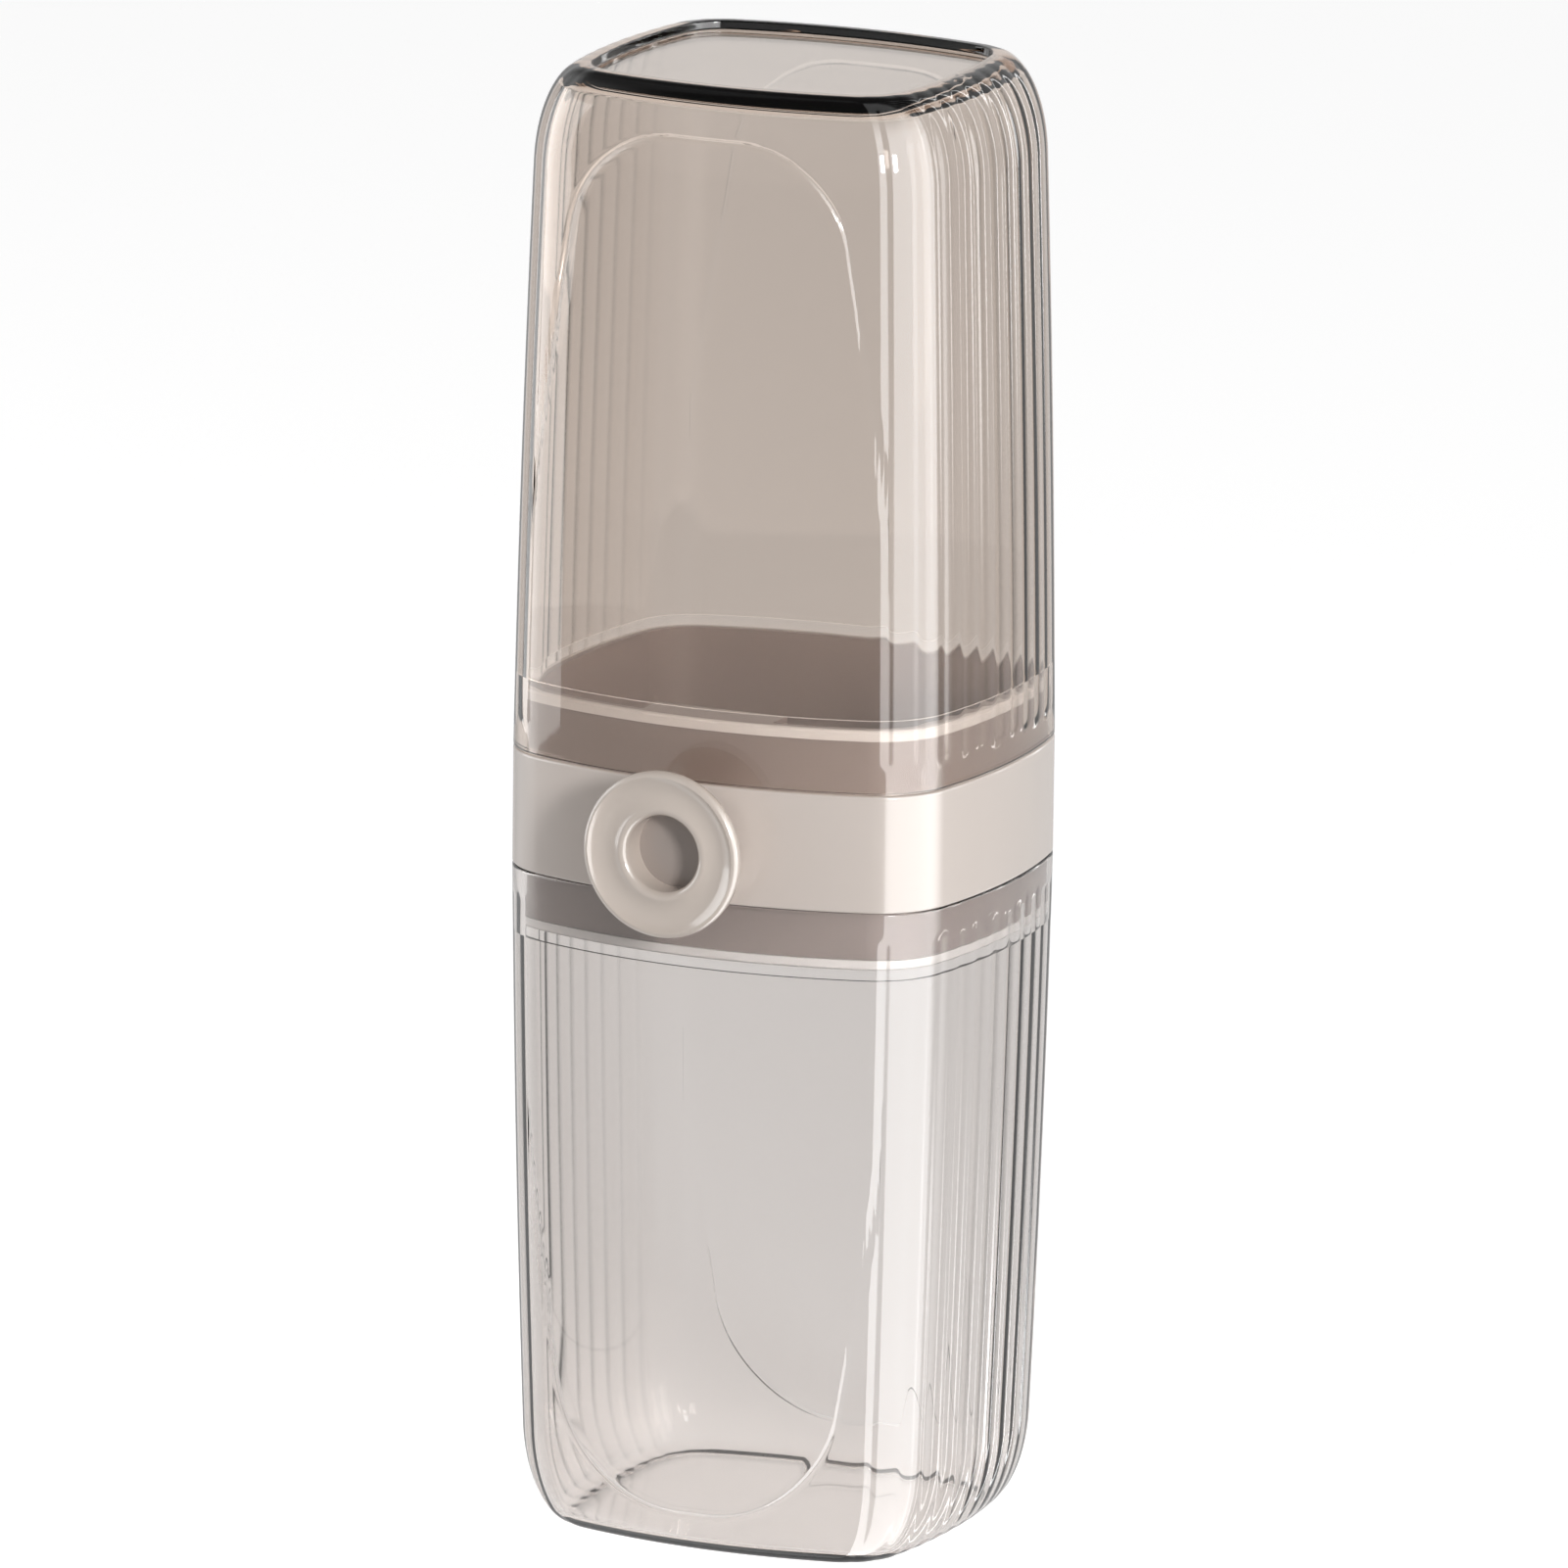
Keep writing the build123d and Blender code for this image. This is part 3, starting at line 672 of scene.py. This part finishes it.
@dataclass(frozen=True)
class Surface:
    """Turns rings into points on the plan's outline."""

    plan: Plan = Plan()
    reed_depth: float = 0.13
    groove_round: float = 0.2
    arch: ArchLine | None = None
    arch_crown: float = 0.0

    def points(self, rings: Rings) -> Array:
        """Points of all rings, in order round the outline from the middle of the front.

        The front is an arc about a centre behind it, then an arc of the corner radius touches it
        and the side's arc. The corner's centre is where two circles cross: each is about another
        arc's centre, with the difference of the two radii. Each point is a distance along that
        chain. The reeds and the arch line move it inwards. The quarter is mirrored to the back and
        then to the left.

        Args:
            rings: the rings.

        Returns:
            Points in millimetres as rows, columns, xyz, with z the distance from the mouth.
        """
        plan = self.plan
        height, share, inset, drawn_in, reeds, shrink = np.array(rings.rows).T[:, :, None]
        half_width, half_depth, corner_radius = plan.sizes(share)
        half_width = half_width - drawn_in - inset
        half_depth = half_depth - drawn_in - inset
        radius = corner_radius - inset
        front = plan.front_radius - inset
        side = plan.side_radius - inset
        front_drop = front - half_depth
        side_drop = side - half_width
        to_front = front - radius
        to_side = side - radius
        slope = front_drop / side_drop
        start = (to_side**2 - to_front**2 - side_drop**2 + front_drop**2) / (2 * side_drop)
        linear = start * slope + front_drop
        square = 1 + slope**2
        root = np.sqrt(linear**2 - square * (start**2 + front_drop**2 - to_front**2))
        centre_y = (root - linear) / square
        centre_x = start + slope * centre_y
        bow = np.arctan2(centre_x, centre_y + front_drop)
        first = math.pi / 2 - bow
        last = np.arctan2(centre_y, centre_x + side_drop)
        begin = first + plan.smooth_corner_share * (last - first)

        front_length = front * bow
        smooth_length = front_length + radius * (first - begin)
        corner_length = radius * (begin - last)
        flank_length = corner_length + side * last

        along_front, along_reeds = plan.columns()
        distance = along_front * smooth_length
        if self.arch is not None:
            distance = self.gathered(along_front, smooth_length, height)
        past = along_reeds * flank_length
        on_front = distance < front_length
        on_corner = past < corner_length
        smooth_corner = first - np.maximum(distance - front_length, 0) / radius
        reeded_corner = begin - np.minimum(past, corner_length) / radius
        turn = np.where(along_reeds > 0, reeded_corner, smooth_corner)
        turn = np.where(on_corner, turn, last - np.maximum(past - corner_length, 0) / side)
        turn = np.where(on_front, math.pi / 2 - np.minimum(distance, front_length) / front, turn)
        away_x = np.cos(turn)
        away_y = np.sin(turn)
        x = np.where(on_corner, centre_x + radius * away_x, side * away_x - side_drop)
        y = np.where(on_corner, centre_y + radius * away_y, side * away_y)
        x = np.where(on_front, front * away_x, x)
        y = np.where(on_front, front * away_y - front_drop, y)

        half_reed = flank_length / plan.reeds_per_quarter / 2
        sunk = reeds * self.reed_sink((smooth_length - distance) / half_reed)
        if self.arch is not None:
            cut = self.arch.cut(distance, self.arch_crown - height)
            sunk = sunk + np.where(along_front < 1, cut, 0) * reeds
        x = (x - away_x * sunk) * shrink
        y = (y - away_y * sunk) * shrink
        quarter = np.stack([x, -y, np.broadcast_to(height, x.shape)], axis=-1)
        half = np.concatenate([quarter, (quarter * [1, -1, 1])[:, -2::-1]], axis=1)
        return np.concatenate([half, (half * [-1, 1, 1])[:, -2:0:-1]], axis=1)

    def reed_sink(self, to_groove: Array) -> Array:
        """Depth of the reeds, from 0 at a crest to the full depth at a groove.

        The depth is a parabola of the distance from the groove, which is rounded off as a
        hyperbola is at its foot.

        Args:
            to_groove: distance to the first groove of a point on the smooth front, in half reeds.

        Returns:
            The depth at every point.
        """
        along_front, along_reeds = self.plan.columns()
        phase = along_reeds * self.plan.reeds_per_quarter
        from_groove = np.minimum(phase % 1, 1 - phase % 1) * 2
        from_groove = np.where(along_front < 1, np.clip(to_groove, 0, 1), from_groove)
        rounded = np.hypot(from_groove, self.groove_round) - self.groove_round
        rounded /= math.hypot(1, self.groove_round) - self.groove_round
        return self.reed_depth * (1 - rounded) ** 2

    def gathered(self, along_front: Array, smooth_length: Array, height: Array) -> Array:
        """Distances along the smooth front with some columns drawn close round the arch line.

        The columns split into three groups: up to the line, across it and past it. The last ones
        lie closer together towards the first groove.

        Args:
            along_front: each column's share of the smooth front.
            smooth_length: the smooth front's length in each ring.
            height: each ring's distance from the mouth.

        Returns:
            The distances.
        """
        plan, arch = self.plan, self.arch
        near = arch.spread * arch.width
        line = arch.reach(self.arch_crown - height)
        line = np.clip(line, arch.from_middle, smooth_length - arch.from_reeds)
        number = along_front * plan.front_columns
        before, across = plan.inside_columns, plan.line_columns
        first = number / before * (line - near)
        middle = line - near + (number - before) / across * 2 * near
        left = np.clip(1 - (number - before - across) / (plan.front_columns - across - before), 0, 1)
        last = smooth_length - (smooth_length - line - near) * left**plan.gather
        return np.where(number < before, first, np.where(number < before + across, middle, last))


# Cups

END_CLOSING = (0.25, 0.6, 0.95)
RECESS_CLOSING = (*END_CLOSING, 0.995)
FLOOR_CLOSING = (0.995, 0.9, 0.6, 0.25)
MOUTH_ANGLES = (0, 45, 90)


@dataclass(frozen=True)
class Cup:
    """A clear reeded cup, drawn from its mouth to its closed end."""

    name: str
    node: str
    mouth: float
    closes_towards: int
    height: float
    sleeve_reach: float
    recess: float
    arch: ArchLine
    finish: Finish
    slot: str
    body: str
    shoulder_height: float = 14.0
    shoulder_inset: float = 6.2
    wall_bow: float = 0.35
    wall: float = 2.3
    mouth_wall: float = 1.9
    floor: float = 1.4
    floor_blend: float = 1.2
    rim_width: float = 1.3
    edge_round: float = 0.3
    lip: float = 4.0
    lip_fade: float = 1.5
    ledge_gap: float = 1.5
    mouth_gap: float = 0.05
    beside: float = 0.06
    leg_run: float = 8.0
    below_crown: float = 3.0
    past_crown: float = 1.0
    wall_steps: tuple[int, ...] = (12, 17, 7, 19, 20)
    shoulder_steps: int = 12
    inner_wall_rings: int = 14
    inner_shoulder_steps: int = 15

    def progress(self, from_mouth: float) -> float:
        """Share of the way from the mouth's plan to the end's, as a bowed wall and a quarter ellipse.

        Args:
            from_mouth: distance from the mouth.

        Returns:
            The share.
        """
        plan = Plan()
        total = plan.half_width - plan.end_half_width
        along = from_mouth / self.height
        inset = (total - self.shoulder_inset) * along - 4 * self.wall_bow * along * (1 - along)
        into = max(from_mouth - (self.height - self.shoulder_height), 0) / self.shoulder_height
        inset += self.shoulder_inset * (1 - math.sqrt(max(1 - into**2, 0)))
        return inset / total

    def reed_share(self, from_mouth: float) -> float:
        """Share of the reeds' full depth, which fades into the plain lip."""
        return float(smooth_step(np.array((from_mouth - self.lip + self.lip_fade / 2) / self.lip_fade)))

    def wall_stations(self) -> list[float]:
        """Distances from the mouth of the outside's rings, closest where the arch and shoulder are.

        Returns:
            The distances, from the lip to the closed end.
        """
        crown = self.height - self.arch.end_gap
        corner = crown - self.arch.radius
        last = crown + self.past_crown
        limits = [self.lip - self.lip_fade, self.lip + self.lip_fade, corner - self.leg_run, corner]
        limits += [crown - self.below_crown, last]
        stretches = [
            np.linspace(start, stop, steps + 1)[1:]
            for start, stop, steps in zip(limits, limits[1:], self.wall_steps)
        ]
        reached = math.asin((last - self.height + self.shoulder_height) / self.shoulder_height)
        angles = np.linspace(reached, math.pi / 2, self.shoulder_steps + 1)[1:]
        stretches.append(self.height - self.shoulder_height + self.shoulder_height * np.sin(angles))
        return np.concatenate([limits[:1], *stretches]).tolist()

    def outside(self) -> Rings:
        """Rings from the middle of the closed end over its rim and down the outside to the mouth.

        Returns:
            The rings.
        """
        rings = Rings()
        soft = self.edge_round
        low = self.height - self.recess
        for shrink in RECESS_CLOSING if self.recess > 0 else END_CLOSING:
            rings.add(low, 1.0, self.rim_width, shrink=shrink)
        if self.recess > 0:
            rings.add(low, 1.0, self.rim_width + soft)
            for up, left in edge_steps(soft, ROUND_ANGLES[1:]):
                rings.add(low + up, 1.0, self.rim_width + left)
            rings.add(self.height - soft, 1.0, self.rim_width)
            for out, down in edge_steps(soft, ROUND_ANGLES[1:]):
                rings.add(self.height - down, 1.0, self.rim_width - out)
        else:
            rings.add(self.height, 1.0, self.rim_width)
        rings.add(self.height, 1.0, self.rim_width / 2, reeds=0.5)
        for from_mouth in reversed(self.wall_stations()):
            rings.add(from_mouth, self.progress(from_mouth), reeds=self.reed_share(from_mouth))
        from_mouth = self.mouth_gap + soft + self.beside
        rings.add(from_mouth, self.progress(from_mouth))
        for inset, up in edge_steps(soft):
            from_mouth = self.mouth_gap + up
            rings.add(from_mouth, self.progress(from_mouth), inset)
        return rings

    def inside(self) -> Rings:
        """Rings from the mouth up the seat of the sleeve, over the ledge and in to the floor's middle.

        Returns:
            The rings.
        """
        rings = Rings()
        soft = self.edge_round
        ledge = self.sleeve_reach + self.ledge_gap
        for up, out in edge_steps(soft, MOUTH_ANGLES):
            rings.add(self.mouth_gap + up, 0.0, self.mouth_wall - out)
        rings.add(self.mouth_gap + soft + self.beside, 0.0, self.mouth_wall)
        rings.add(ledge, 0.0, self.mouth_wall)
        blend = self.floor_blend
        blend_start = self.height - self.recess - self.floor - blend
        shoulder = self.height - self.shoulder_height
        wall = np.linspace(ledge, shoulder, self.inner_wall_rings)
        reached = math.asin((blend_start - shoulder) / self.shoulder_height)
        angles = np.linspace(0, reached, self.inner_shoulder_steps + 1)[1:]
        for from_mouth in np.concatenate([wall, shoulder + self.shoulder_height * np.sin(angles)]).tolist():
            rings.add(from_mouth, self.progress(from_mouth), self.wall)
        share = self.progress(blend_start)
        radius = float(Plan().sizes(np.array(share))[2])
        for drawn, left in edge_steps(blend, range(10, 91, 10)):
            inset = self.wall + drawn * (radius - self.wall) / (2 * blend)
            rings.add(blend_start + (blend - left), share, inset, drawn)
        for shrink in FLOOR_CLOSING:
            rings.add(blend_start + blend, share, inset, drawn, shrink=shrink)
        return rings

    def build(self, finishes: Finishes) -> Piece:
        """Makes the cup's one closed mesh and lets it stand for its CAD node.

        Args:
            finishes: the materials.

        Returns:
            The cup.
        """
        lined = Surface(arch=self.arch, arch_crown=self.height - self.arch.end_gap)
        points = np.concatenate([lined.points(self.outside()), Surface().points(self.inside())])
        points[..., 2] = self.mouth + self.closes_towards * points[..., 2]
        cup = make_piece(self.name, *tube_grid(points), finishes[self.finish])
        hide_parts(self.node)
        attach(cup, self.body)
        return cup


# Band and button


@dataclass(frozen=True)
class Band:
    """The glossy band between the cups."""

    low: float = 96.5
    high: float = 113.5
    inner_inset: float = 2.1
    edge: float = 0.35
    beside: float = 0.06

    def build(self, finishes: Finishes) -> Piece:
        """Makes the band as a closed loop of rings with rounded edges.

        Args:
            finishes: the materials.

        Returns:
            The band.
        """
        rings = Rings()
        for inset, down in reversed(edge_steps(self.edge)):
            rings.add(self.high - down, 0.0, inset)
        rings.add(self.high - self.edge - self.beside, 0.0)
        rings.add(self.low + self.edge + self.beside, 0.0)
        for inset, up in edge_steps(self.edge):
            rings.add(self.low + up, 0.0, inset)
        rings.add(self.low, 0.0, self.inner_inset)
        rings.add(self.high, 0.0, self.inner_inset)
        loop = Surface().points(rings)
        faces = closed_faces(*loop.shape[:2], looped=True)
        band = make_piece("joining_band", loop, faces, finishes[Finish.BAND])
        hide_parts("outer_band")
        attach(band, "ring")
        return band


@dataclass(frozen=True)
class RingButton:
    """The dished ring that is pressed."""

    axis_height: float = 105.0
    back: float = 34.6
    thickness: float = 6.4
    edge_thickness: float = 2.0
    radius: float = 12.0
    neck_radius: float = 8.4
    hole: float = 5.5
    outer_round: float = 0.8
    lip_round: float = 1.04
    lip_drop: float = 0.5
    dish: float = 1.0
    seat_radius: float = 6.65
    seat_depth: float = 1.2
    steps: int = 160
    round_points: int = 9
    edge_points: int = 11
    dish_steps: int = 14

    def profile(self) -> Array:
        """The ring's section as radius and distance in front of the centre plane, outside first.

        A cone from the neck to the thin edge, quarter circles round the edge, a shallow arc
        through three points for the dish, then a quarter circle into the hole and a step for the
        plunger's head.

        Returns:
            The section's points, a closed loop.
        """
        front = self.back + self.thickness
        crest = self.radius - self.outer_round
        lip_crest = self.hole + self.lip_round
        lip_front = front - self.lip_drop
        edge_back = front - self.edge_thickness + self.outer_round
        back_edge = arc_points((crest, edge_back), self.outer_round, -90, 0, self.round_points)
        front_edge = arc_points((crest, front - self.outer_round), self.outer_round, 0, 90, self.edge_points)
        share = np.linspace(0, 1, self.dish_steps + 1)[1:-1]
        level = front + (lip_front - front) * share
        sag = 4 * (self.dish - self.lip_drop / 2) * share * (1 - share)
        dish = np.stack([crest + (lip_crest - crest) * share, level - sag], axis=-1)
        lip = arc_points((lip_crest, lip_front - self.lip_round), self.lip_round, 90, 180, self.round_points)
        step = self.back + self.seat_depth
        seat = [(self.hole, step), (self.seat_radius, step)]
        back = [(self.seat_radius, self.back), (self.neck_radius, self.back)]
        return np.concatenate([back_edge, front_edge, dish, lip, np.array(seat + back)])

    def build(self, finishes: Finishes) -> Piece:
        """Turns the section round the button's axis.

        Args:
            finishes: the materials.

        Returns:
            The button ring.
        """
        points, faces = turned_ring(self.profile(), self.steps, self.axis_height)
        ring = make_piece("press_ring", points, faces, finishes[Finish.BUTTON])
        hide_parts("button_ring")
        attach(ring, "button")
        return ring


@dataclass(frozen=True)
class ReturnSpring:
    """The coil that pushes the button out, built at one length, which moves whole with the button."""

    axis_height: float = 105.0
    back: float = 29.8
    front: float = 34.15
    mean_radius: float = 3.9
    wire: float = 0.7
    turns: int = 3
    travel: float = 1.6
    steps_in_a_turn: int = 48
    sides: int = 14

    def build(self, finishes: Finishes) -> Piece:
        """Makes the coil as one tube along a helix, held at its outer end.

        Args:
            finishes: the materials.

        Returns:
            The spring.
        """
        turn = np.linspace(0, self.turns, self.turns * self.steps_in_a_turn + 1)[:, None]
        side = np.linspace(0, 2 * math.pi, self.sides, endpoint=False)
        angle = 2 * math.pi * turn
        thick = self.wire / 2
        radius = self.mean_radius + thick * np.cos(side)
        distance = self.back + (self.front - self.back) * turn / self.turns + thick * np.sin(side)
        points = [radius * np.cos(angle), -distance, self.axis_height + radius * np.sin(angle)]
        coil = make_piece("return_spring", *tube_grid(np.stack(points, axis=-1)), finishes[Finish.SPRING])
        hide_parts("button_spring")
        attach(coil, "button")
        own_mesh(coil)
        return coil


CUPS = (
    Cup(
        name="clear_cover",
        node="cover_cup",
        mouth=113.5,
        closes_towards=1,
        height=98.5,
        sleeve_reach=9.0,
        recess=1.2,
        arch=ArchLine(),
        finish=Finish.CLEAR_COVER,
        slot="clear_cover",
        body="cover",
    ),
    Cup(
        name="clear_base",
        node="base_cup",
        mouth=96.5,
        closes_towards=-1,
        height=96.5,
        sleeve_reach=8.5,
        recess=0.0,
        arch=ArchLine(end_gap=6.0, radius=17.0),
        finish=Finish.CLEAR_BASE,
        slot="clear_base",
        body="base",
    ),
)

NODE_FINISHES = {
    "inner_sleeve": Finish.SLEEVE_WITH_PAINTED_SHADE,
    "upper_seal": Finish.SEAL,
    "lower_seal": Finish.SEAL,
    "button_stem": Finish.BUTTON_CORE,
    "button_guide": Finish.SLEEVE_WITH_PAINTED_SHADE,
    "button_clip": Finish.SPRING,
    "latch_tongue": Finish.TONGUE,
    "latch_screws": Finish.SCREW,
    "latch_guard": Finish.SLEEVE_WITH_PAINTED_SHADE,
    "guard_screws": Finish.SCREW,
}


def dress_nodes(finishes: Finishes) -> None:
    """Gives each CAD node that stays its finish.

    Args:
        finishes: the materials.
    """
    for name, finish in NODE_FINISHES.items():
        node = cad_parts[name]
        node.data.materials.clear()
        node.data.materials.append(finishes[finish])
        log.info("%s: %s", name, finish.name)


# Studio


def heading(azimuth: float, elevation: float) -> Vector:
    """Unit direction in degrees, by azimuth (0 in front of the button, 90 on its right) and elevation."""
    turn, lift = math.radians(azimuth), math.radians(elevation)
    return Vector((math.sin(turn) * math.cos(lift), -math.cos(turn) * math.cos(lift), math.sin(lift)))


@dataclass(frozen=True)
class Camera:
    """The viewpoint of the photograph."""

    azimuth: float = 25.13
    elevation: float = 13.25
    roll: float = 0.68
    distance: float = 2626.3
    focal_pixels: float = 18864.5
    target_height: float = 106.81
    nearest: float = 0.05
    farthest: float = 50.0

    def build(self) -> bpy.types.Object:
        """Makes the scene's camera, its right axis turned up by the roll.

        Returns:
            The camera.
        """
        back = heading(self.azimuth, self.elevation)
        right = Vector((0, 0, 1)).cross(back).normalized()
        up = back.cross(right)
        roll = math.radians(self.roll)
        turned_right = right * math.cos(roll) + up * math.sin(roll)
        turned_up = up * math.cos(roll) - right * math.sin(roll)
        data = bpy.data.cameras.new("camera")
        data.sensor_width = SENSOR_MM
        data.lens = self.focal_pixels / FRAME_PIXELS * SENSOR_MM
        data.clip_start, data.clip_end = self.nearest, self.farthest
        camera = bpy.data.objects.new("camera", data)
        place = (Vector((0, 0, self.target_height)) + back * self.distance) * MM
        axes = Matrix((turned_right, turned_up, back)).transposed().to_4x4()
        camera.matrix_world = Matrix.Translation(place) @ axes
        bpy.context.scene.collection.objects.link(camera)
        bpy.context.scene.camera = camera
        return camera


@dataclass(frozen=True)
class Floor:
    """Pale floor just under the case, white to the camera where no shadow lies."""

    half_size: float = 3000.0
    gap: float = 0.25
    colour: Colour = (0.55, 0.55, 0.55)
    camera_glow: float = 0.78
    mirrored_glow: float = 0.5

    def material(self) -> Material:
        """Matt floor that glows for what sees it and is left out of plain reflections.

        Returns:
            The material.
        """
        made, sheet = new_sheet("floor")
        camera, glossy, clear = sheet.rays()
        seen = camera * self.camera_glow + (1 - camera) * glossy.largest(clear) * self.mirrored_glow
        matt = sheet.node("ShaderNodeBsdfDiffuse", {}, {"Color": (*self.colour, 1.0)}).outputs[0]
        glow = sheet.node("ShaderNodeEmission", {}, {"Color": WHITE, "Strength": seen}).outputs[0]
        both = sheet.node("ShaderNodeAddShader", {}, {0: matt, 1: glow}).outputs[0]
        through = sheet.node("ShaderNodeBsdfTransparent").outputs[0]
        ends = sheet.node("ShaderNodeMixShader", {}, {0: glossy * (1 - clear), 1: both, 2: through})
        sheet.output(ends.outputs[0])
        return made

    def build(self) -> bpy.types.Object:
        """Makes the floor as one square.

        Returns:
            The floor.
        """
        half = self.half_size
        corners = np.array([(-half, -half), (half, -half), (half, half), (-half, half)])
        points = np.concatenate([corners, np.full((4, 1), -self.gap)], axis=1)
        mesh = bpy.data.meshes.new("floor")
        mesh.from_pydata((points * MM).tolist(), [], [(0, 1, 2, 3)])
        mesh.materials.append(self.material())
        floor = bpy.data.objects.new("floor", mesh)
        bpy.context.scene.collection.objects.link(floor)
        return floor


@dataclass(frozen=True)
class Panel:
    """A lit stretch of the surround, by the azimuths in degrees where it rises and where it falls."""

    rise: tuple[float, float]
    fall: tuple[float, float]
    strength: float

    def light(self, azimuth: Value) -> Value:
        """The panel's strength at an azimuth in radians."""
        rise, fall = (tuple(math.radians(limit) for limit in edge) for edge in (self.rise, self.fall))
        return azimuth.between(rise, fall) * self.strength


@dataclass(frozen=True)
class Surround:
    """The world: white behind the case, softer for what it lights, with panels that only gloss shows.

    Heights are the upward part of a direction, from -1 to 1.
    """

    level: float = 0.33
    level_at_sides: float = 1.4
    fall_with_height: float = 1.3
    mirrored_level: float = 0.75
    right_panel: Panel = Panel((37, 40), (105, 135), 6.5)
    left_panel: Panel = Panel((-125, -100), (-75, -55), 0.9)
    strips: Panel = Panel((95, 100), (176, 180), 5.0)
    strips_in_a_turn: float = 24.0
    strip_start: float = 0.8
    band_height: tuple[tuple[float, float], ...] = ((-0.29, -0.26), (-0.2, -0.17))
    ceiling_height: tuple[float, float] = (0.42, 0.82)
    ceiling_dark: float = 0.85

    def build(self) -> None:
        """Makes the world.

        The strips are the crests of a cosine of the azimuth, and none lies at the height that the
        band mirrors. What lights the case is brightest from the sides.
        """
        world = bpy.data.worlds.new("surround")
        world.use_nodes = True
        bpy.context.scene.world = world
        sheet = Sheet(world.node_tree)
        camera, glossy, clear = sheet.rays()
        towards = sheet.node("ShaderNodeTexCoord").outputs["Generated"]
        parts = sheet.node("ShaderNodeSeparateXYZ", {}, {"Vector": towards}).outputs
        forward = Value(sheet, parts[1]) * -1.0
        up = Value(sheet, parts[2])
        azimuth = sheet.value("ShaderNodeMath", 0, {"operation": "ARCTAN2"}, {0: parts[0], 1: forward})
        turns = {0: azimuth * self.strips_in_a_turn}
        wave = sheet.value("ShaderNodeMath", 0, {"operation": "COSINE"}, turns)
        crests = (wave - self.strip_start).largest(0.0) * (1 / (1 - self.strip_start))
        strips = crests * self.strips.light(azimuth) * (1 - up.between(*self.band_height))
        lit = self.right_panel.light(azimuth) + strips + self.left_panel.light(azimuth) + self.mirrored_level
        gloss = lit * (1 - up.rise(*self.ceiling_height) * self.ceiling_dark)
        seen = camera.largest(clear)
        level = self.level * (self.level_at_sides - up * up * self.fall_with_height)
        strength = seen + glossy * (1 - clear) * gloss + (1 - seen.largest(glossy)) * level
        glow = sheet.node("ShaderNodeBackground", {}, {"Color": WHITE, "Strength": strength})
        sheet.node("ShaderNodeOutputWorld", {}, {"Surface": glow.outputs[0]})


@dataclass(frozen=True)
class Lamp:
    """A square lamp that shines on the case: power in watts, sizes in metres, angles in degrees."""

    name: str
    power: float
    size: float
    azimuth: float
    elevation: float
    distance: float = 1.0
    aim_height: float = 0.1

    def build(self) -> bpy.types.Object:
        """Makes the lamp, facing the case.

        Returns:
            The lamp.
        """
        data = bpy.data.lights.new(self.name, "AREA")
        data.shape = "SQUARE"
        data.size = self.size
        data.energy = self.power
        lamp = bpy.data.objects.new(self.name, data)
        towards = heading(self.azimuth, self.elevation)
        lamp.location = Vector((0, 0, self.aim_height)) + towards * self.distance
        lamp.rotation_mode = "QUATERNION"
        lamp.rotation_quaternion = towards.to_track_quat("Z", "Y")
        bpy.context.scene.collection.objects.link(lamp)
        return lamp


LAMPS = (
    Lamp("key", 7.2, 0.16, 48.0, 17.0),
    Lamp("right_fill", 3.0, 0.7, 105.0, 8.0),
    Lamp("left_fill", 4.6, 0.7, -75.0, 8.0),
)


def main() -> None:
    """Builds every piece, then the studio."""
    logging.basicConfig(level=logging.INFO, format="%(name)s %(message)s")
    Camera().build()
    finishes = materials()
    for cup in CUPS:
        cup.build(finishes)
    Band().build(finishes)
    RingButton().build(finishes)
    ReturnSpring().build(finishes)
    dress_nodes(finishes)
    Floor().build()
    Surround().build()
    for lamp in LAMPS:
        lamp.build()
    bpy.context.scene.view_settings.view_transform = "Standard"


if __name__ == "__main__":
    main()
